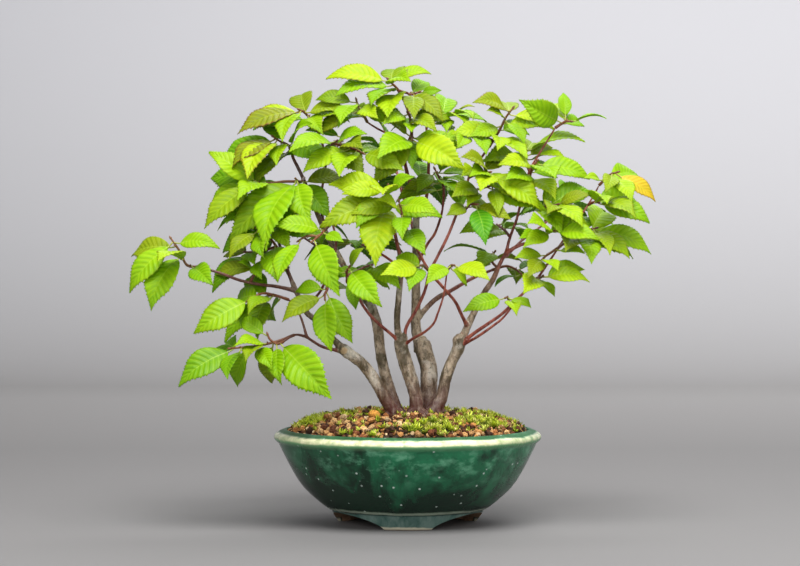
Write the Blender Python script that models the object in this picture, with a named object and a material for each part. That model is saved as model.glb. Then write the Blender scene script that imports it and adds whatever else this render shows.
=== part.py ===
"""Five-stemmed clump bonsai (hornbeam) in a round green-glazed pot on three feet.

Run with: blender --background --python part.py   (metres, +Z up)

Design numbers are in millimetres and degrees, measured from the pot's axis at
the surface the pot stands on. +X is to the right of the front view and +Y is
away from it. MODEL_SHIFT then moves the whole part so that the bottom centre
of its bounding box is the origin.
"""
import math

import bmesh
import bpy
from mathutils import Quaternion, Vector
from mathutils.bvhtree import BVHTree

MM = 0.001
MODEL_SHIFT = (6.93, -12.45)

# --- pot -----------------------------------------------------------------
POT_SEGMENTS = 36
POT_RIM_RADIUS = 63.0
POT_HEIGHT = 44.5
POT_FLOOR_TOP = 11.0
POT_FLOOR_UNDERSIDE = 7.0
DRAIN_HOLE_RADIUS = 7.2
FOOT_OUTER_RADIUS = 36.0
FOOT_INNER_RADIUS = 28.5
FOOT_ARCH_HALF_WIDTH = 22.0
FOOT_ARCH_HEIGHT = 6.4
FOOT_ARCH_AZIMUTHS = (90.0, 210.0, 330.0)

# --- planting ------------------------------------------------------------
GAP = 0.3
ROOT_BALL_TOP = 50.5
ROOT_BALL_RADIUS = 23.5
SCREEN_SIZE = 24.0
SCREEN_THICKNESS = 0.8
SCREEN_WINDOWS = 5
SCREEN_PITCH = 4.5
SCREEN_WINDOW = 3.0
WIRE_RADIUS = 0.5

# soil surface: radius, height
SOIL_TOP = (
    (23.9, 50.5), (33.0, 49.7), (42.0, 47.9), (49.0, 45.9), (54.0, 43.8), (55.8, 42.6),
)

# moss pads: name, centre x, centre y, half length, half width, turn, height
MOSS_PADS = (
    ("moss_left", -44.0, -6.0, 9.0, 14.0, 0.0, 2.2),
    ("moss_front", 9.0, -43.0, 13.0, 8.0, 4.0, 2.4),
    ("moss_right_front", 34.0, -25.0, 13.0, 7.0, 30.0, 2.2),
    ("moss_right", 41.0, 12.0, 7.0, 14.0, 10.0, 2.2),
    ("moss_back", -10.0, 40.0, 15.0, 9.0, 0.0, 2.0),
)

# --- stems: routes of (x, y, z, radius); the first route of each is its trunk ---
STEMS = (
    ("stem_left_front", (
        ((-6, -17, 50.8, 4.1), (-7, -17.3, 54, 3.3), (-10, -18, 59, 3.0), (-15, -19, 68, 2.7),
         (-21, -20, 76, 2.6), (-26, -21, 80, 2.6), (-30, -21, 83, 2.7)),
        ((-27.5, -21, 80.5, 2.1), (-36, -22, 89, 1.7), (-42, -21, 96, 1.6), (-47, -20, 100, 1.5),
         (-51, -19, 108, 1.4), (-55, -17, 117, 1.2), (-58, -15, 126, 1.0), (-61, -14, 135, 0.9)),
        ((-31, -21, 82, 1.1), (-39, -25, 84, 0.95), (-44, -28, 87, 0.9), (-47, -30, 89, 0.9),
         (-52, -33, 90, 0.8), (-57, -35, 87, 0.7)),
        ((-46.5, -29.6, 88.8, 0.8), (-49, -28, 97, 0.75), (-52, -26, 103, 0.75), (-55, -26, 106, 0.7)),
        ((-52, -18.7, 110, 1.2), (-61, -20, 112, 1.1), (-69, -22, 113, 1.0), (-78, -23, 115, 0.95),
         (-86, -24, 118, 0.9), (-96, -25, 121, 0.8)),
        ((-47.5, -20, 102, 1.0), (-41, -24, 109, 0.9), (-38, -27, 115, 0.9), (-35, -28, 123, 0.85),
         (-33, -28, 133, 0.8), (-35, -27, 142, 0.7)),
    )),
    ("stem_left_back", (
        ((-5, -8, 50.8, 3.4), (-5.4, -8, 54, 2.9), (-8, -7, 62, 2.7), (-11, -6, 72, 2.6),
         (-13, -4, 82, 2.5), (-14, -3, 92, 2.4), (-17, -2, 102, 2.2), (-21, -1, 107, 1.9),
         (-26, 0, 113, 1.7), (-31, 2, 123, 1.5), (-36, 3, 132, 1.4), (-41, 3, 142, 1.2),
         (-46, 3, 154, 1.0), (-50, 3, 164, 0.9), (-54, 3, 172, 0.8)),
        ((-40, 3, 140, 1.0), (-41, 8, 155, 0.9), (-39, 11, 169, 0.85), (-41, 10, 181, 0.8),
         (-45, 7, 189, 0.7)),
        ((-30.5, 1.8, 122, 1.0), (-41, 14, 129, 0.9), (-52, 26, 136, 0.8), (-64, 38, 141, 0.7)),
    )),
    ("stem_middle", (
        ((4, -13, 50.8, 4.2), (4, -13, 54, 3.5), (4, -13, 59, 3.2), (2, -12, 67, 3.2),
         (-1, -11, 76, 3.3), (-3, -11, 84, 3.2), (-3, -11, 88, 3.0)),
        ((-3.5, -11, 85, 2.0), (-5, -12, 95, 1.7), (-4, -13, 109, 1.6), (-3, -15, 122, 1.4),
         (-5, -17, 132, 1.2), (-7, -19, 141, 1.0), (-9, -20, 145, 0.9)),
        ((-4, -11.6, 85.6, 1.2), (-7, -14, 89, 1.1), (-15, -18, 96, 1.0), (-20, -21, 102, 0.95),
         (-24, -24, 109, 0.9), (-28, -27, 114, 0.8)),
        ((-1.8, -11.6, 85.5, 1.2), (-0.6, -13, 93, 1.1), (4, -14, 101, 1.05), (8, -15, 110, 1.0),
         (10, -15, 118, 1.0), (14, -14, 126, 0.95), (19, -12, 136, 0.95), (23, -9, 146, 0.9),
         (27, -7, 155, 0.85), (29, -6, 164, 0.8), (33, -6, 170, 0.8), (38, -7, 177, 0.75)),
        ((-1.2, -12.6, 85, 1.0), (3, -16, 88, 0.9), (8, -20, 91, 0.85), (12, -23, 95, 0.8),
         (14, -25, 100, 0.75), (16, -27, 106, 0.7), (17, -29, 111, 0.65), (18, -31, 119, 0.6)),
    )),
    ("stem_back", (
        ((10, 2, 50.8, 4.7), (10, 2, 55, 4.2), (10, 3, 64, 4.0), (10, 4, 73, 4.0), (8, 5, 80, 4.1),
         (7, 6, 85, 3.7), (6.8, 6.2, 86.6, 2.4)),
        ((6.5, 6, 81, 3.0), (4, 8, 92, 2.7), (4, 10, 104, 2.5), (4, 11, 118, 2.2), (4, 11, 132, 2.0),
         (4, 11, 145, 1.7), (2, 10, 157, 1.4), (-1, 8, 169, 1.1), (-1, 7, 176, 1.0), (2, 5, 185, 0.9),
         (1, 4, 192, 0.8), (-2, 2, 200, 0.7)),
        ((4, 11, 143, 1.3), (9, 13, 154, 1.1), (10, 15, 166, 1.0), (10, 17, 177, 0.9), (9, 18, 188, 0.8)),
        ((4.3, 8.6, 96, 1.5), (13, 14, 105, 1.4), (22, 20, 110, 1.3), (31, 27, 115, 1.1),
         (41, 34, 119, 0.9)),
        ((4, 10.6, 121, 1.1), (9, 4, 131, 0.95), (13, 1, 137, 0.9), (16, -1, 146, 0.8), (17, -3, 154, 0.7)),
        ((-1, 7.4, 172, 0.9), (-7, 4, 182, 0.8), (-14, 1, 186, 0.7), (-19, -2, 189, 0.65)),
        ((4, 11.5, 132, 1.2), (1, 28, 146, 1.0), (-3, 42, 158, 0.9), (-6, 52, 171, 0.8)),
        ((4, 11, 110, 1.2), (-3, 28, 119, 1.0), (-10, 42, 125, 0.9), (-19, 54, 130, 0.8)),
    )),
    ("stem_right", (
        ((13, -8, 50.8, 4.1), (13, -8, 54, 3.4), (16, -7, 60, 2.8), (18, -6, 69, 2.7), (21, -5, 77, 2.6),
         (24, -5, 83, 2.9), (24, -5, 87, 2.8), (24.2, -5, 88.4, 1.8)),
        ((24, -5, 83, 2.3), (29, -5, 95, 1.9), (33, -6, 103, 1.6), (36, -7, 109, 1.5), (40, -8, 115, 1.4),
         (43, -9, 122, 1.3), (46, -10, 127, 1.2), (52, -11, 131, 1.1), (60, -12, 133, 0.9)),
        ((28, -5.4, 93, 1.2), (25, -12, 99, 1.1), (22, -17, 105, 1.05), (16, -22, 112, 1.0),
         (10, -25, 119, 1.0), (5, -27, 128, 0.9), (1, -29, 135, 0.8)),
        ((24.6, -5.4, 84, 1.3), (30, -8, 89, 1.2), (37, -10.5, 94, 1.1), (44, -12, 99, 1.0),
         (49, -14, 104, 0.95), (53, -16, 108, 0.9), (59, -17, 114, 0.85), (64, -18, 121, 0.8),
         (70, -19, 130, 0.7)),
        ((26, -6.8, 84.6, 1.0), (32, -12, 88, 0.9), (39, -15, 93, 0.85), (44, -17, 97, 0.8),
         (48, -19, 102, 0.7)),
        ((45.6, -9.7, 126, 1.0), (48, -9, 135, 0.95), (51, -8, 143, 0.9), (53, -8, 151, 0.85),
         (55, -8, 158, 0.8), (57, -8, 166, 0.75), (61, -9, 173, 0.7), (66, -9, 181, 0.65),
         (69, -9, 186, 0.6)),
        ((69.4, -19, 129, 0.75), (76, -18, 139, 0.7), (82, -17, 147, 0.65), (87, -16, 155, 0.6),
         (89, -16, 159, 0.55)),
        ((46, -9.8, 126, 0.9), (55, 8, 134, 0.85), (64, 24, 140, 0.8), (72, 38, 146, 0.7)),
    )),
)

# --- leaf sprays ---------------------------------------------------------
# A spray is one or more twigs and its leaves. The first twig starts at a limb;
# any other twig starts on the first. A leaf row is:
#   twig number, place along the twig (0 to 1), heading of the leaf in plan,
#   dip below the horizontal, reach from twig to tip, roll about its length.
# Headings: 0 is +X, 90 is +Y (back), 180 is -X, 270 is the front.
SPRAYS = (
    ("leaves_left_front_high", (
        ((-49, 3, 163), (-50, -6, 161), (-51, -14, 161), (-52, -20, 162)),
        ((-50, -5, 161), (-58, -8, 161), (-66, -11, 160), (-74, -14, 160)),
    ), (
        (0, 1.0, 240, 50, 42, 15), (0, 0.55, 235, 60, 28, 0), (0, 0.75, 195, 30, 43, 0),
        (0, 0.25, 320, 45, 25, 0), (1, 1.0, 205, 40, 32, 0), (1, 0.9, 170, 30, 26, 0),
        (1, 0.65, 225, 15, 27, 0), (1, 0.55, 170, -5, 34, 0), (1, 0.35, 135, 25, 27, 0),
        (0, 0.9, 290, 45, 28, 0), (1, 0.8, 185, 0, 28, 0), (0, 0.4, 20, 20, 24, 0),
    )),
    ("leaves_left_tip", (
        ((-96, -25, 121), (-102, -26, 122), (-105, -27, 128), (-109, -28, 134)),
    ), (
        (0, 1.0, 190, 48, 31, 0), (0, 0.9, 340, 5, 23, 0), (0, 0.6, 222, 56, 31, 0),
        (0, 0.45, 250, 10, 28, 0), (0, 0.2, 300, 20, 25, 0), (0, 0.8, 150, 10, 26, 0),
    )),
    ("leaves_left_low_inner", (
        ((-57, -35, 87), (-60, -37, 86), (-63, -38, 88), (-64, -38, 90)),
    ), (
        (0, 0.2, 325, 40, 38, 15), (0, 0.4, 280, 50, 23, 20), (0, 1.0, 150, -25, 18, 0),
        (0, 0.6, 105, 45, 25, 0),
    )),
    ("leaves_left_low_outer", (
        ((-52, -33, 90), (-60, -34, 87), (-70, -37, 85), (-81, -38, 84)),
    ), (
        (0, 1.0, 192, 33, 31, -12), (0, 0.8, 250, 40, 21, 20), (0, 0.65, 125, 60, 22, 0),
        (0, 0.45, 255, 15, 22, 0), (0, 0.9, 105, 5, 28, 0),
        (0, 0.55, 300, 30, 20, 0), (0, 0.3, 230, 20, 22, 0),
    )),
    ("leaves_left_mid", (
        ((-55, -26, 106), (-61, -28, 108), (-67, -31, 109), (-73, -33, 106)),
        ((-61, -28, 108), (-64, -23, 108), (-66, -17, 107), (-67, -12, 106)),
    ), (
        (0, 1.0, 192, 30, 31, -12), (0, 0.35, 230, 20, 22, 0), (0, 0.7, 120, 5, 27, 0),
        (0, 0.2, 100, 30, 23, 0),
        (1, 1.0, 200, 25, 28, 0), (1, 0.7, 260, 35, 26, 0), (1, 0.4, 120, 0, 24, 0),
    )),
    ("leaves_left_bud", (
        ((-73, -22, 114), (-71, -22, 118), (-68, -20, 123), (-66, -18, 127)),
    ), (
        (0, 0.35, 225, -20, 12, 0), (0, 1.0, 260, 30, 21, 20), (0, 0.8, 305, 15, 19, 0),
        (0, 0.9, 95, -20, 26, 0),
        (0, 0.6, 60, 10, 24, 0), (0, 0.5, 170, 10, 22, 0),
    )),
    ("leaves_left_shoulder", (
        ((-58, -15, 126), (-62, -20, 132), (-66, -24, 137), (-70, -26, 139)),
        ((-61, -18.75, 130.5), (-66, -15, 129), (-71, -11, 128), (-76, -7, 128)),
    ), (
        (0, 1.0, 220, 38, 22, 0), (0, 0.85, 275, 34, 22, 20), (0, 0.3, 275, 35, 29, 10),
        (0, 0.7, 155, 20, 25, 0), (0, 0.55, 105, -25, 27, 0),
        (1, 1.0, 215, 35, 26, 0), (1, 0.75, 300, 45, 26, 0), (1, 0.5, 240, 50, 26, 0), (1, 0.9, 120, 5, 24, 0),
    )),
    ("leaves_left_lead_tip", (
        ((-61, -14, 135), (-62, -13, 140), (-62, -11, 144), (-63, -10, 148)),
    ), (
        (0, 1.0, 200, 10, 24, 0), (0, 0.6, 260, 30, 24, 0), (0, 0.8, 70, 0, 25, 0),
        (0, 0.4, 130, 10, 26, 0),
        (0, 0.9, 170, 15, 26, 0), (0, 0.5, 340, 15, 26, 0), (0, 0.75, 300, 40, 24, 0),
    )),
    ("leaves_left_front_big", (
        ((-35, -27, 142), (-38, -34, 138), (-41, -40, 135), (-43.4, -44, 133)),
        ((-41, -40, 135), (-44, -39, 135.5), (-47, -38, 135), (-49.5, -38, 133.5)),
    ), (
        (0, 0.93, 303, 50, 32, 18), (1, 1.0, 235, 48, 26, 12), (0, 0.5, 310, 15, 16, 0),
        (0, 0.35, 190, 5, 24, 0), (0, 0.7, 80, 0, 22, 0),
    )),
    ("leaves_left_front_hang", (
        ((-38, -27, 114), (-37, -31, 111), (-38, -34, 109), (-38, -36, 107)),
    ), (
        (0, 1.0, 285, 65, 27, 15), (0, 0.6, 335, 60, 27, 0), (0, 0.4, 140, 5, 18, 0),
        (0, 0.8, 200, 30, 24, 0), (0, 0.2, 60, 10, 22, 0),
    )),
    ("leaves_left_high_tip", (
        ((-54, 3, 172), (-56, 1, 178), (-60, -2, 180), (-63, -4, 182)),
    ), (
        (0, 1.0, 200, 30, 28, 0), (0, 0.85, 240, 35, 32, 0), (0, 0.7, 265, 20, 22, 0),
        (0, 0.4, 300, -25, 24, 0), (0, 0.6, 115, -35, 25, 0),
        (0, 0.9, 170, 20, 28, 0), (0, 0.55, 330, 20, 26, 0), (0, 0.3, 210, 40, 26, 0),
    )),
    ("leaves_upper_left_inner", (
        ((-39, 11, 169), (-38, 2, 175), (-35, -6, 179), (-33, -12, 180)),
        ((-38.3, 5, 173), (-34, 14, 178), (-32, 24, 181), (-30, 32, 184)),
        ((-35, -6, 179), (-30, -10, 177.5), (-25, -14, 176), (-21, -17, 174)),
    ), (
        (0, 1.0, 220, 10, 28, 0), (0, 0.6, 295, 20, 28, 0), (0, 0.85, 310, -10, 23, 0),
        (1, 1.0, 200, -10, 20, 0), (1, 0.8, 110, 20, 24, 0), (1, 0.6, 30, 0, 22, 0),
        (2, 1.0, 325, 20, 26, 0), (2, 0.8, 250, 28, 26, 0), (2, 0.6, 200, 15, 26, 0), (2, 0.9, 60, 0, 22, 0),
        (2, 0.4, 290, 35, 24, 0), (0, 0.4, 180, 5, 26, 0),
    )),
    ("leaves_upper_left", (
        ((-45, 7, 189), (-47, 4, 192), (-49, 2, 194), (-51, 0, 195)),
    ), (
        (0, 1.0, 200, 20, 33, 0), (0, 0.8, 175, 10, 27, 0), (0, 0.5, 285, 25, 22, 0),
        (0, 0.2, 290, -15, 24, 0), (0, 0.6, 95, -25, 25, 0), (0, 0.4, 20, 5, 22, 0),
        (0, 0.9, 230, 35, 28, 0), (0, 0.7, 330, 20, 24, 0), (0, 0.3, 170, 10, 28, 0),
    )),
    ("leaves_high_left_tip", (
        ((-19, -2, 189), (-21, -4, 193), (-23, -5, 196), (-24, -5, 199)),
    ), (
        (0, 1.0, 170, 5, 20, 0), (0, 0.7, 295, 15, 22, 0), (0, 0.4, 230, 20, 19, 0),
        (0, 0.2, 115, -5, 26, 0),
        (0, 0.9, 250, 25, 24, 0), (0, 0.5, 340, 15, 24, 0), (0, 0.6, 190, 20, 24, 0),
    )),
    ("leaves_crown", (
        ((-2, 2, 200), (-5, 0, 205), (-7, -1, 207), (-9, -2, 209)),
        ((-4.4, 0.4, 204), (-1, -2, 203), (2, -3, 202), (5, -4, 203)),
    ), (
        (0, 1.0, 184, -4, 30, 0), (0, 0.85, 290, 0, 25, 0), (0, 0.7, 205, 10, 29, 0),
        (0, 0.5, 240, 20, 26, 0), (0, 0.3, 250, 25, 30, 0), (0, 0.9, 80, -15, 25, 0),
        (1, 1.0, 345, -5, 12, 30), (1, 0.8, 270, 20, 25, 0), (1, 0.6, 60, -20, 19, 0),
        (1, 0.45, 330, 15, 24, 0),
        (0, 0.95, 5, -12, 20, 0),
    )),
    ("leaves_centre_high", (
        ((2, 5, 185), (2, -4, 182), (2, -12, 181), (2, -18, 180)),
        ((2, -3, 182.3), (1.5, -5, 187), (1, -7, 191), (0, -10, 193)),
    ), (
        (0, 1.0, 325, 25, 32, 12), (0, 0.75, 250, 20, 29, 0), (0, 0.4, 215, -30, 16, 0),
        (0, 0.5, 305, 5, 19, 0), (1, 1.0, 225, 15, 20, 0), (1, 0.7, 310, 15, 24, 0),
        (1, 0.45, 245, -20, 22, 0),
        (0, 0.62, 350, 10, 24, 0), (1, 0.85, 20, 5, 22, 0),
        (0, 0.9, 200, 15, 28, 0), (0, 0.3, 270, 40, 24, 0),
    )),
    ("leaves_right_stem_tip", (
        ((9, 18, 188), (14, 13, 191), (18, 9, 193), (22, 6, 194)),
    ), (
        (0, 1.0, 335, -15, 12, 0), (0, 0.7, 290, 15, 23, 0), (0, 0.4, 250, -10, 18, 0),
        (0, 0.25, 300, 20, 18, 0), (0, 0.6, 85, -20, 27, 0), (0, 0.85, 30, 10, 22, 0),
        (0, 0.5, 270, 30, 22, 0), (0, 0.95, 300, 10, 20, 0),
        (0, 0.3, 210, 10, 22, 0),
    )),
    ("leaves_right_high", (
        ((38, -7, 177), (43, -8, 185), (46, -9, 191), (49, -10, 195)),
        ((40, -7.4, 180.2), (35, -9, 182), (31, -10, 183), (27, -11, 184)),
    ), (
        (0, 0.55, 220, 15, 21, 0), (0, 0.7, 310, 40, 18, 0), (0, 0.45, 60, 0, 26, 0),
        (0, 0.9, 100, -10, 25, 0), (0, 0.75, 235, -10, 16, 0), (1, 1.0, 210, 15, 14, 0),
        (1, 0.75, 290, 30, 20, 0), (1, 0.5, 110, -30, 21, 0),
        (0, 0.3, 270, 20, 22, 0), (1, 0.9, 250, 25, 18, 0), (0, 0.85, 350, 15, 20, 0),
        (0, 0.2, 300, 10, 26, 0), (0, 0.35, 200, 20, 24, 0), (0, 0.62, 340, 5, 24, 0), (0, 0.95, 200, 0, 22, 0),
    )),
    ("leaves_right_top", (
        ((69, -9, 186), (72, -9, 188), (74, -10, 189), (76, -11, 189)),
    ), (
        (0, 0.45, 200, -22, 27, -50), (0, 0.7, 95, -62, 16, 0), (0, 1.0, 340, -5, 18, -35),
        (0, 0.8, 115, -25, 22, 0),
        (0, 0.45, 60, 0, 20, 0),
    )),
    ("leaves_right_wing_back", (
        ((57, -8, 166), (56, 0, 170), (56, 6, 174), (56, 10, 177)),
    ), (
        (0, 0.4, 220, 0, 28, 0), (0, 1.0, 195, -15, 16, 0), (0, 0.7, 40, -15, 18, 0),
        (0, 0.85, 80, -10, 25, 0),
        (0, 0.55, 300, 0, 22, 0), (0, 0.95, 345, 12, 30, 0),
    )),
    ("leaves_right_wing", (
        ((55, -8, 158), (57, -12, 163), (58, -16, 167), (60, -18, 170)),
    ), (
        (0, 1.0, 10, 15, 27, 0), (0, 0.7, 290, 10, 27, 0), (0, 0.4, 240, 5, 25, 0),
        (0, 0.55, 60, 5, 24, 0), (0, 0.85, 240, 20, 24, 0),
        (0, 0.3, 300, 25, 24, 0),
    )),
    ("leaves_far_right_tip", (
        ((89, -16, 159), (92, -17, 162), (94, -18, 164), (97, -19, 165)),
    ), (
        (0, 1.0, 355, 35, 23, 0), (0, 0.8, 255, 25, 20, 0), (0, 0.5, 50, 0, 27, 0),
        (0, 0.3, 215, -5, 12, 0),
        (0, 0.65, 300, 25, 22, 0),
    )),
    ("leaves_far_right_lower", (
        ((84, -17, 150), (86, -19, 151), (87, -21, 151), (88, -23, 151)),
    ), (
        (0, 1.0, 350, 20, 26, 10), (0, 0.5, 295, 10, 27, 0), (0, 0.75, 50, -5, 31, 0),
        (0, 0.9, 310, 15, 26, 0),
    )),
    ("leaves_right_bright", (
        ((53, -8, 151), (58, -14, 150), (63, -20, 149), (69, -24, 150)),
    ), (
        (0, 1.0, 340, -15, 18, 0), (0, 0.6, 60, -30, 19, 0), (0, 0.4, 300, 20, 27, 0),
        (0, 0.8, 305, 10, 27, 0),
        (0, 0.9, 260, 30, 20, 0),
        (0, 0.5, 350, 5, 28, 0), (0, 0.7, 20, 5, 26, 0),
    )),
    ("leaves_right_centre_front", (
        ((29, -6, 163), (33, -13, 165), (35, -19, 165), (38, -24, 165)),
    ), (
        (0, 1.0, 345, 15, 34, 0), (0, 0.75, 290, 20, 26, 0), (0, 0.45, 255, -5, 22, 0),
        (0, 0.6, 50, -25, 18, 0),
        (0, 0.85, 240, 15, 22, 0),
        (0, 0.95, 200, 15, 24, 0), (0, 0.3, 320, 25, 24, 0),
    )),
    ("leaves_right_centre_fold", (
        ((27, -7, 155), (32, -13, 157), (36, -18, 158), (40, -22, 159)),
    ), (
        (0, 1.0, 280, 45, 20, 0), (0, 0.75, 355, 20, 30, 0), (0, 0.4, 260, 35, 18, 0),
        (0, 0.55, 230, 10, 22, 0), (0, 0.9, 320, 30, 20, 0),
    )),
    ("leaves_centre_hang", (
        ((23.5, -9, 146), (27, -16, 148), (29, -23, 150), (32, -29, 150)),
    ), (
        (0, 1.0, 285, 50, 24, 15), (0, 0.6, 230, 15, 17, 0), (0, 0.35, 120, -30, 18, 0),
        (0, 0.8, 330, 20, 20, 0),
        (0, 0.5, 60, 0, 22, 0),
    )),
    ("leaves_right_inner", (
        ((48, -9, 135), (46, 2, 138), (44, 12, 140), (43, 20, 141)),
    ), (
        (0, 0.35, 250, 10, 23, 0), (0, 1.0, 325, -20, 16, 0), (0, 0.7, 115, -5, 21, 0),
        (0, 0.85, 75, 15, 25, 0),
        (0, 0.5, 200, 5, 22, 0), (0, 0.6, 300, 10, 20, 0),
    )),
    ("leaves_right_mass_front", (
        ((60, -12, 133), (63, -20, 135), (65, -27, 137), (68, -33, 138)),
    ), (
        (0, 1.0, 315, 10, 23, 10), (0, 0.7, 245, -10, 25, 0), (0, 0.5, 350, -30, 16, 0),
        (0, 0.3, 240, 0, 23, 0),
        (0, 0.85, 230, 20, 20, 0), (0, 0.9, 20, 10, 22, 0),
    )),
    ("leaves_right_mass", (
        ((70, -19, 130), (75, -20, 134), (81, -20, 137), (87, -19, 139)),
        ((73, -19.6, 132.4), (68, -25, 129), (64, -29, 126.5), (61, -33, 124)),
    ), (
        (0, 1.0, 295, 35, 20, 0), (0, 0.4, 15, 20, 30, 0), (0, 0.65, 95, -20, 22, 0),
        (0, 0.85, 70, -5, 29, 0), (1, 1.0, 290, 15, 19, 0), (1, 0.7, 205, 5, 17, 0),
        (1, 0.4, 320, 5, 17, 0),
        (0, 0.55, 280, 15, 24, 0), (0, 0.75, 330, 20, 24, 0), (1, 0.85, 260, 25, 20, 0),
        (0, 0.95, 350, 22, 30, 0), (0, 0.25, 250, 15, 22, 0),
    )),
    ("leaves_right_low_tip", (
        ((59, -17, 114), (60, -22, 116), (61, -27, 116), (62, -31, 117)),
    ), (
        (0, 1.0, 350, 5, 22, 0), (0, 0.8, 10, -10, 21, 0), (0, 0.55, 250, 15, 25, 0),
        (0, 0.35, 335, 45, 12, 0),
    )),
    ("leaves_right_low_pair", (
        ((48, -19, 102), (47, -23, 105), (46, -27, 107), (45, -30, 107)),
    ), (
        (0, 1.0, 200, 15, 22, 0), (0, 0.55, 280, 20, 19, 10), (0, 0.75, 320, 25, 16, 0),
    )),
    ("leaves_right_back", (
        ((41, 34, 119), (48, 34, 121), (53, 30, 119), (57, 25, 115)),
        ((44, 34, 120), (41, 31, 123), (41, 26, 126), (42, 22, 128)),
    ), (
        (0, 1.0, 330, 20, 15, 0), (0, 0.8, 210, 20, 16, 0), (0, 0.6, 45, -5, 19, 0),
        (0, 0.45, 80, 20, 23, 0), (1, 1.0, 250, 20, 23, 0), (1, 0.85, 195, -5, 25, 0),
        (1, 0.6, 320, 5, 18, 0), (1, 0.45, 120, 20, 20, 0),
    )),
    ("leaves_centre_bright", (
        ((18, -31, 119), (19, -34, 121), (20, -37, 122), (21, -40, 122)),
    ), (
        (0, 1.0, 315, 15, 23, 0), (0, 0.65, 230, 25, 20, 0), (0, 0.45, 60, 30, 18, 0),
    )),
    ("leaves_centre_left_bright", (
        ((10, -25, 119), (8, -31, 121), (7, -36, 122), (6, -40, 122)),
    ), (
        (0, 1.0, 215, 10, 23, 0), (0, 0.65, 250, 30, 22, 0), (0, 0.4, 140, -15, 18, 0),
    )),
    ("leaves_cross_tip", (
        ((1, -29, 135), (-2, -31, 142), (-3, -33, 147), (-4, -34, 151)),
    ), (
        (0, 0.95, 315, 10, 23, 0), (0, 0.65, 270, 30, 23, 10), (0, 0.8, 230, -15, 17, 0),
        (0, 0.5, 85, -20, 18, 0),
        (0, 0.9, 190, 10, 24, 0), (0, 0.3, 300, 35, 22, 0),
    )),
    ("leaves_centre_left_front", (
        ((-9, -20, 145), (-9, -25, 150), (-9, -29, 154), (-9, -31, 158)),
    ), (
        (0, 0.4, 255, 40, 36, 0), (0, 0.55, 205, 20, 35, 0), (0, 0.75, 265, 10, 29, 0),
        (0, 0.9, 195, 5, 22, 0), (0, 1.0, 180, 5, 29, 0), (0, 0.8, 315, -25, 18, 0),
        (0, 0.65, 230, 35, 24, 0),
        (0, 0.3, 330, 30, 26, 0),
    )),
    ("leaves_centre_inner", (
        ((17, -3, 154), (17, 2, 159), (15, 4, 163), (13, 5, 167)),
    ), (
        (0, 1.0, 230, 35, 18, 0), (0, 0.7, 310, 10, 19, 0), (0, 0.4, 95, 0, 27, 0),
        (0, 0.85, 300, -25, 17, 0),
        (0, 0.55, 200, 10, 20, 0), (0, 0.9, 10, 5, 20, 0),
        (0, 0.6, 300, 20, 24, 0), (0, 0.3, 180, 15, 24, 0),
    )),
    ("leaves_middle_left_front", (
        ((-28, -27, 114), (-28, -31, 117), (-28, -34, 119), (-27, -36, 121)),
        ((-28, -31, 117), (-24, -26, 119), (-20, -20, 121), (-17, -15, 122)),
    ), (
        (0, 0.95, 310, 35, 29, 0), (0, 0.4, 355, 75, 16, 0), (0, 0.7, 130, 5, 17, 0),
        (0, 0.85, 305, -40, 16, 0),
        (1, 1.0, 310, 25, 24, 0), (1, 0.7, 215, 30, 24, 0), (1, 0.5, 20, 15, 22, 0), (1, 0.85, 90, 10, 24, 0),
    )),
)

# sprays on the far side: one twig each, their leaves fan out by BACK_FAN
BACK_SPRAYS = (
    ("leaves_back_left", ((-64, 38, 141), (-68, 46, 145), (-72, 54, 148))),
    ("leaves_back_up", ((-6, 52, 171), (-8, 60, 177), (-9, 66, 182))),
    ("leaves_back_mid", ((-3, 42, 158), (4, 54, 161), (10, 64, 164))),
    ("leaves_back_low", ((-19, 54, 130), (-24, 62, 132), (-30, 70, 133))),
    ("leaves_back_right", ((72, 38, 146), (77, 48, 149), (81, 58, 151))),
)
# along the twig, heading from the twig's own, dip, reach
BACK_FAN = (
    (1.0, 5, 30, 25), (0.92, 55, 20, 24), (0.84, -60, 20, 24), (0.7, 105, 10, 25),
    (0.6, -110, 10, 25), (0.45, 150, 5, 24), (0.35, -155, 0, 23), (0.75, 30, -30, 22),
)

# --- leaf shape ----------------------------------------------------------
PETIOLE_LENGTH = 3.4
PETIOLE_RADIUS = 0.42
LEAF_WIDTH = 0.53
LEAF_ARCH = 0.11
# place along the blade, half width as a share of the full half width, keel depth
LEAF_STATIONS = ((0.0, 0.30, 0.65), (0.36, 1.0, 0.75), (0.74, 0.66, 0.55))
TWIG_RADIUS = 0.68
TWIG_TIP_RADIUS = 0.46
CLEARANCE = 0.34
# small changes tried in turn when a leaf would touch a neighbour
HEADING_STEPS = (0, 8, -8, 16, -16, 26, -26, 38, -38)
DIP_STEPS = (0, 10, -10, 20, -20, 32, -32)
REACH_STEPS = (1.0, 0.9, 0.8, 0.7)

COLOURS = {
    "pot": (0.035, 0.075, 0.045, 0.25),
    "drain_screen": (0.02, 0.02, 0.02, 0.6),
    "screen_wire": (0.55, 0.55, 0.56, 0.35),
    "soil": (0.36, 0.22, 0.12, 0.95),
    "root_ball": (0.20, 0.12, 0.08, 0.95),
    "moss": (0.28, 0.42, 0.05, 0.9),
    "stem": (0.17, 0.12, 0.08, 0.85),
    "leaves": (0.20, 0.33, 0.06, 0.5),
}


def clear_scene():
    """Remove whatever the file holds."""
    for old in list(bpy.data.objects):
        bpy.data.objects.remove(old, do_unlink=True)


def colour_of(name):
    """The material of a node: its own, with the colour of its kind."""
    kind = name if name in COLOURS else name.split("_")[0]
    red, green, blue, rough = COLOURS[kind]
    material = bpy.data.materials.new(name + "_finish")
    material.use_nodes = True
    shader = material.node_tree.nodes["Principled BSDF"]
    shader.inputs["Base Color"].default_value = (red, green, blue, 1.0)
    shader.inputs["Roughness"].default_value = rough
    shader.inputs["Metallic"].default_value = 1.0 if kind == "screen_wire" else 0.0
    return material


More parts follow.
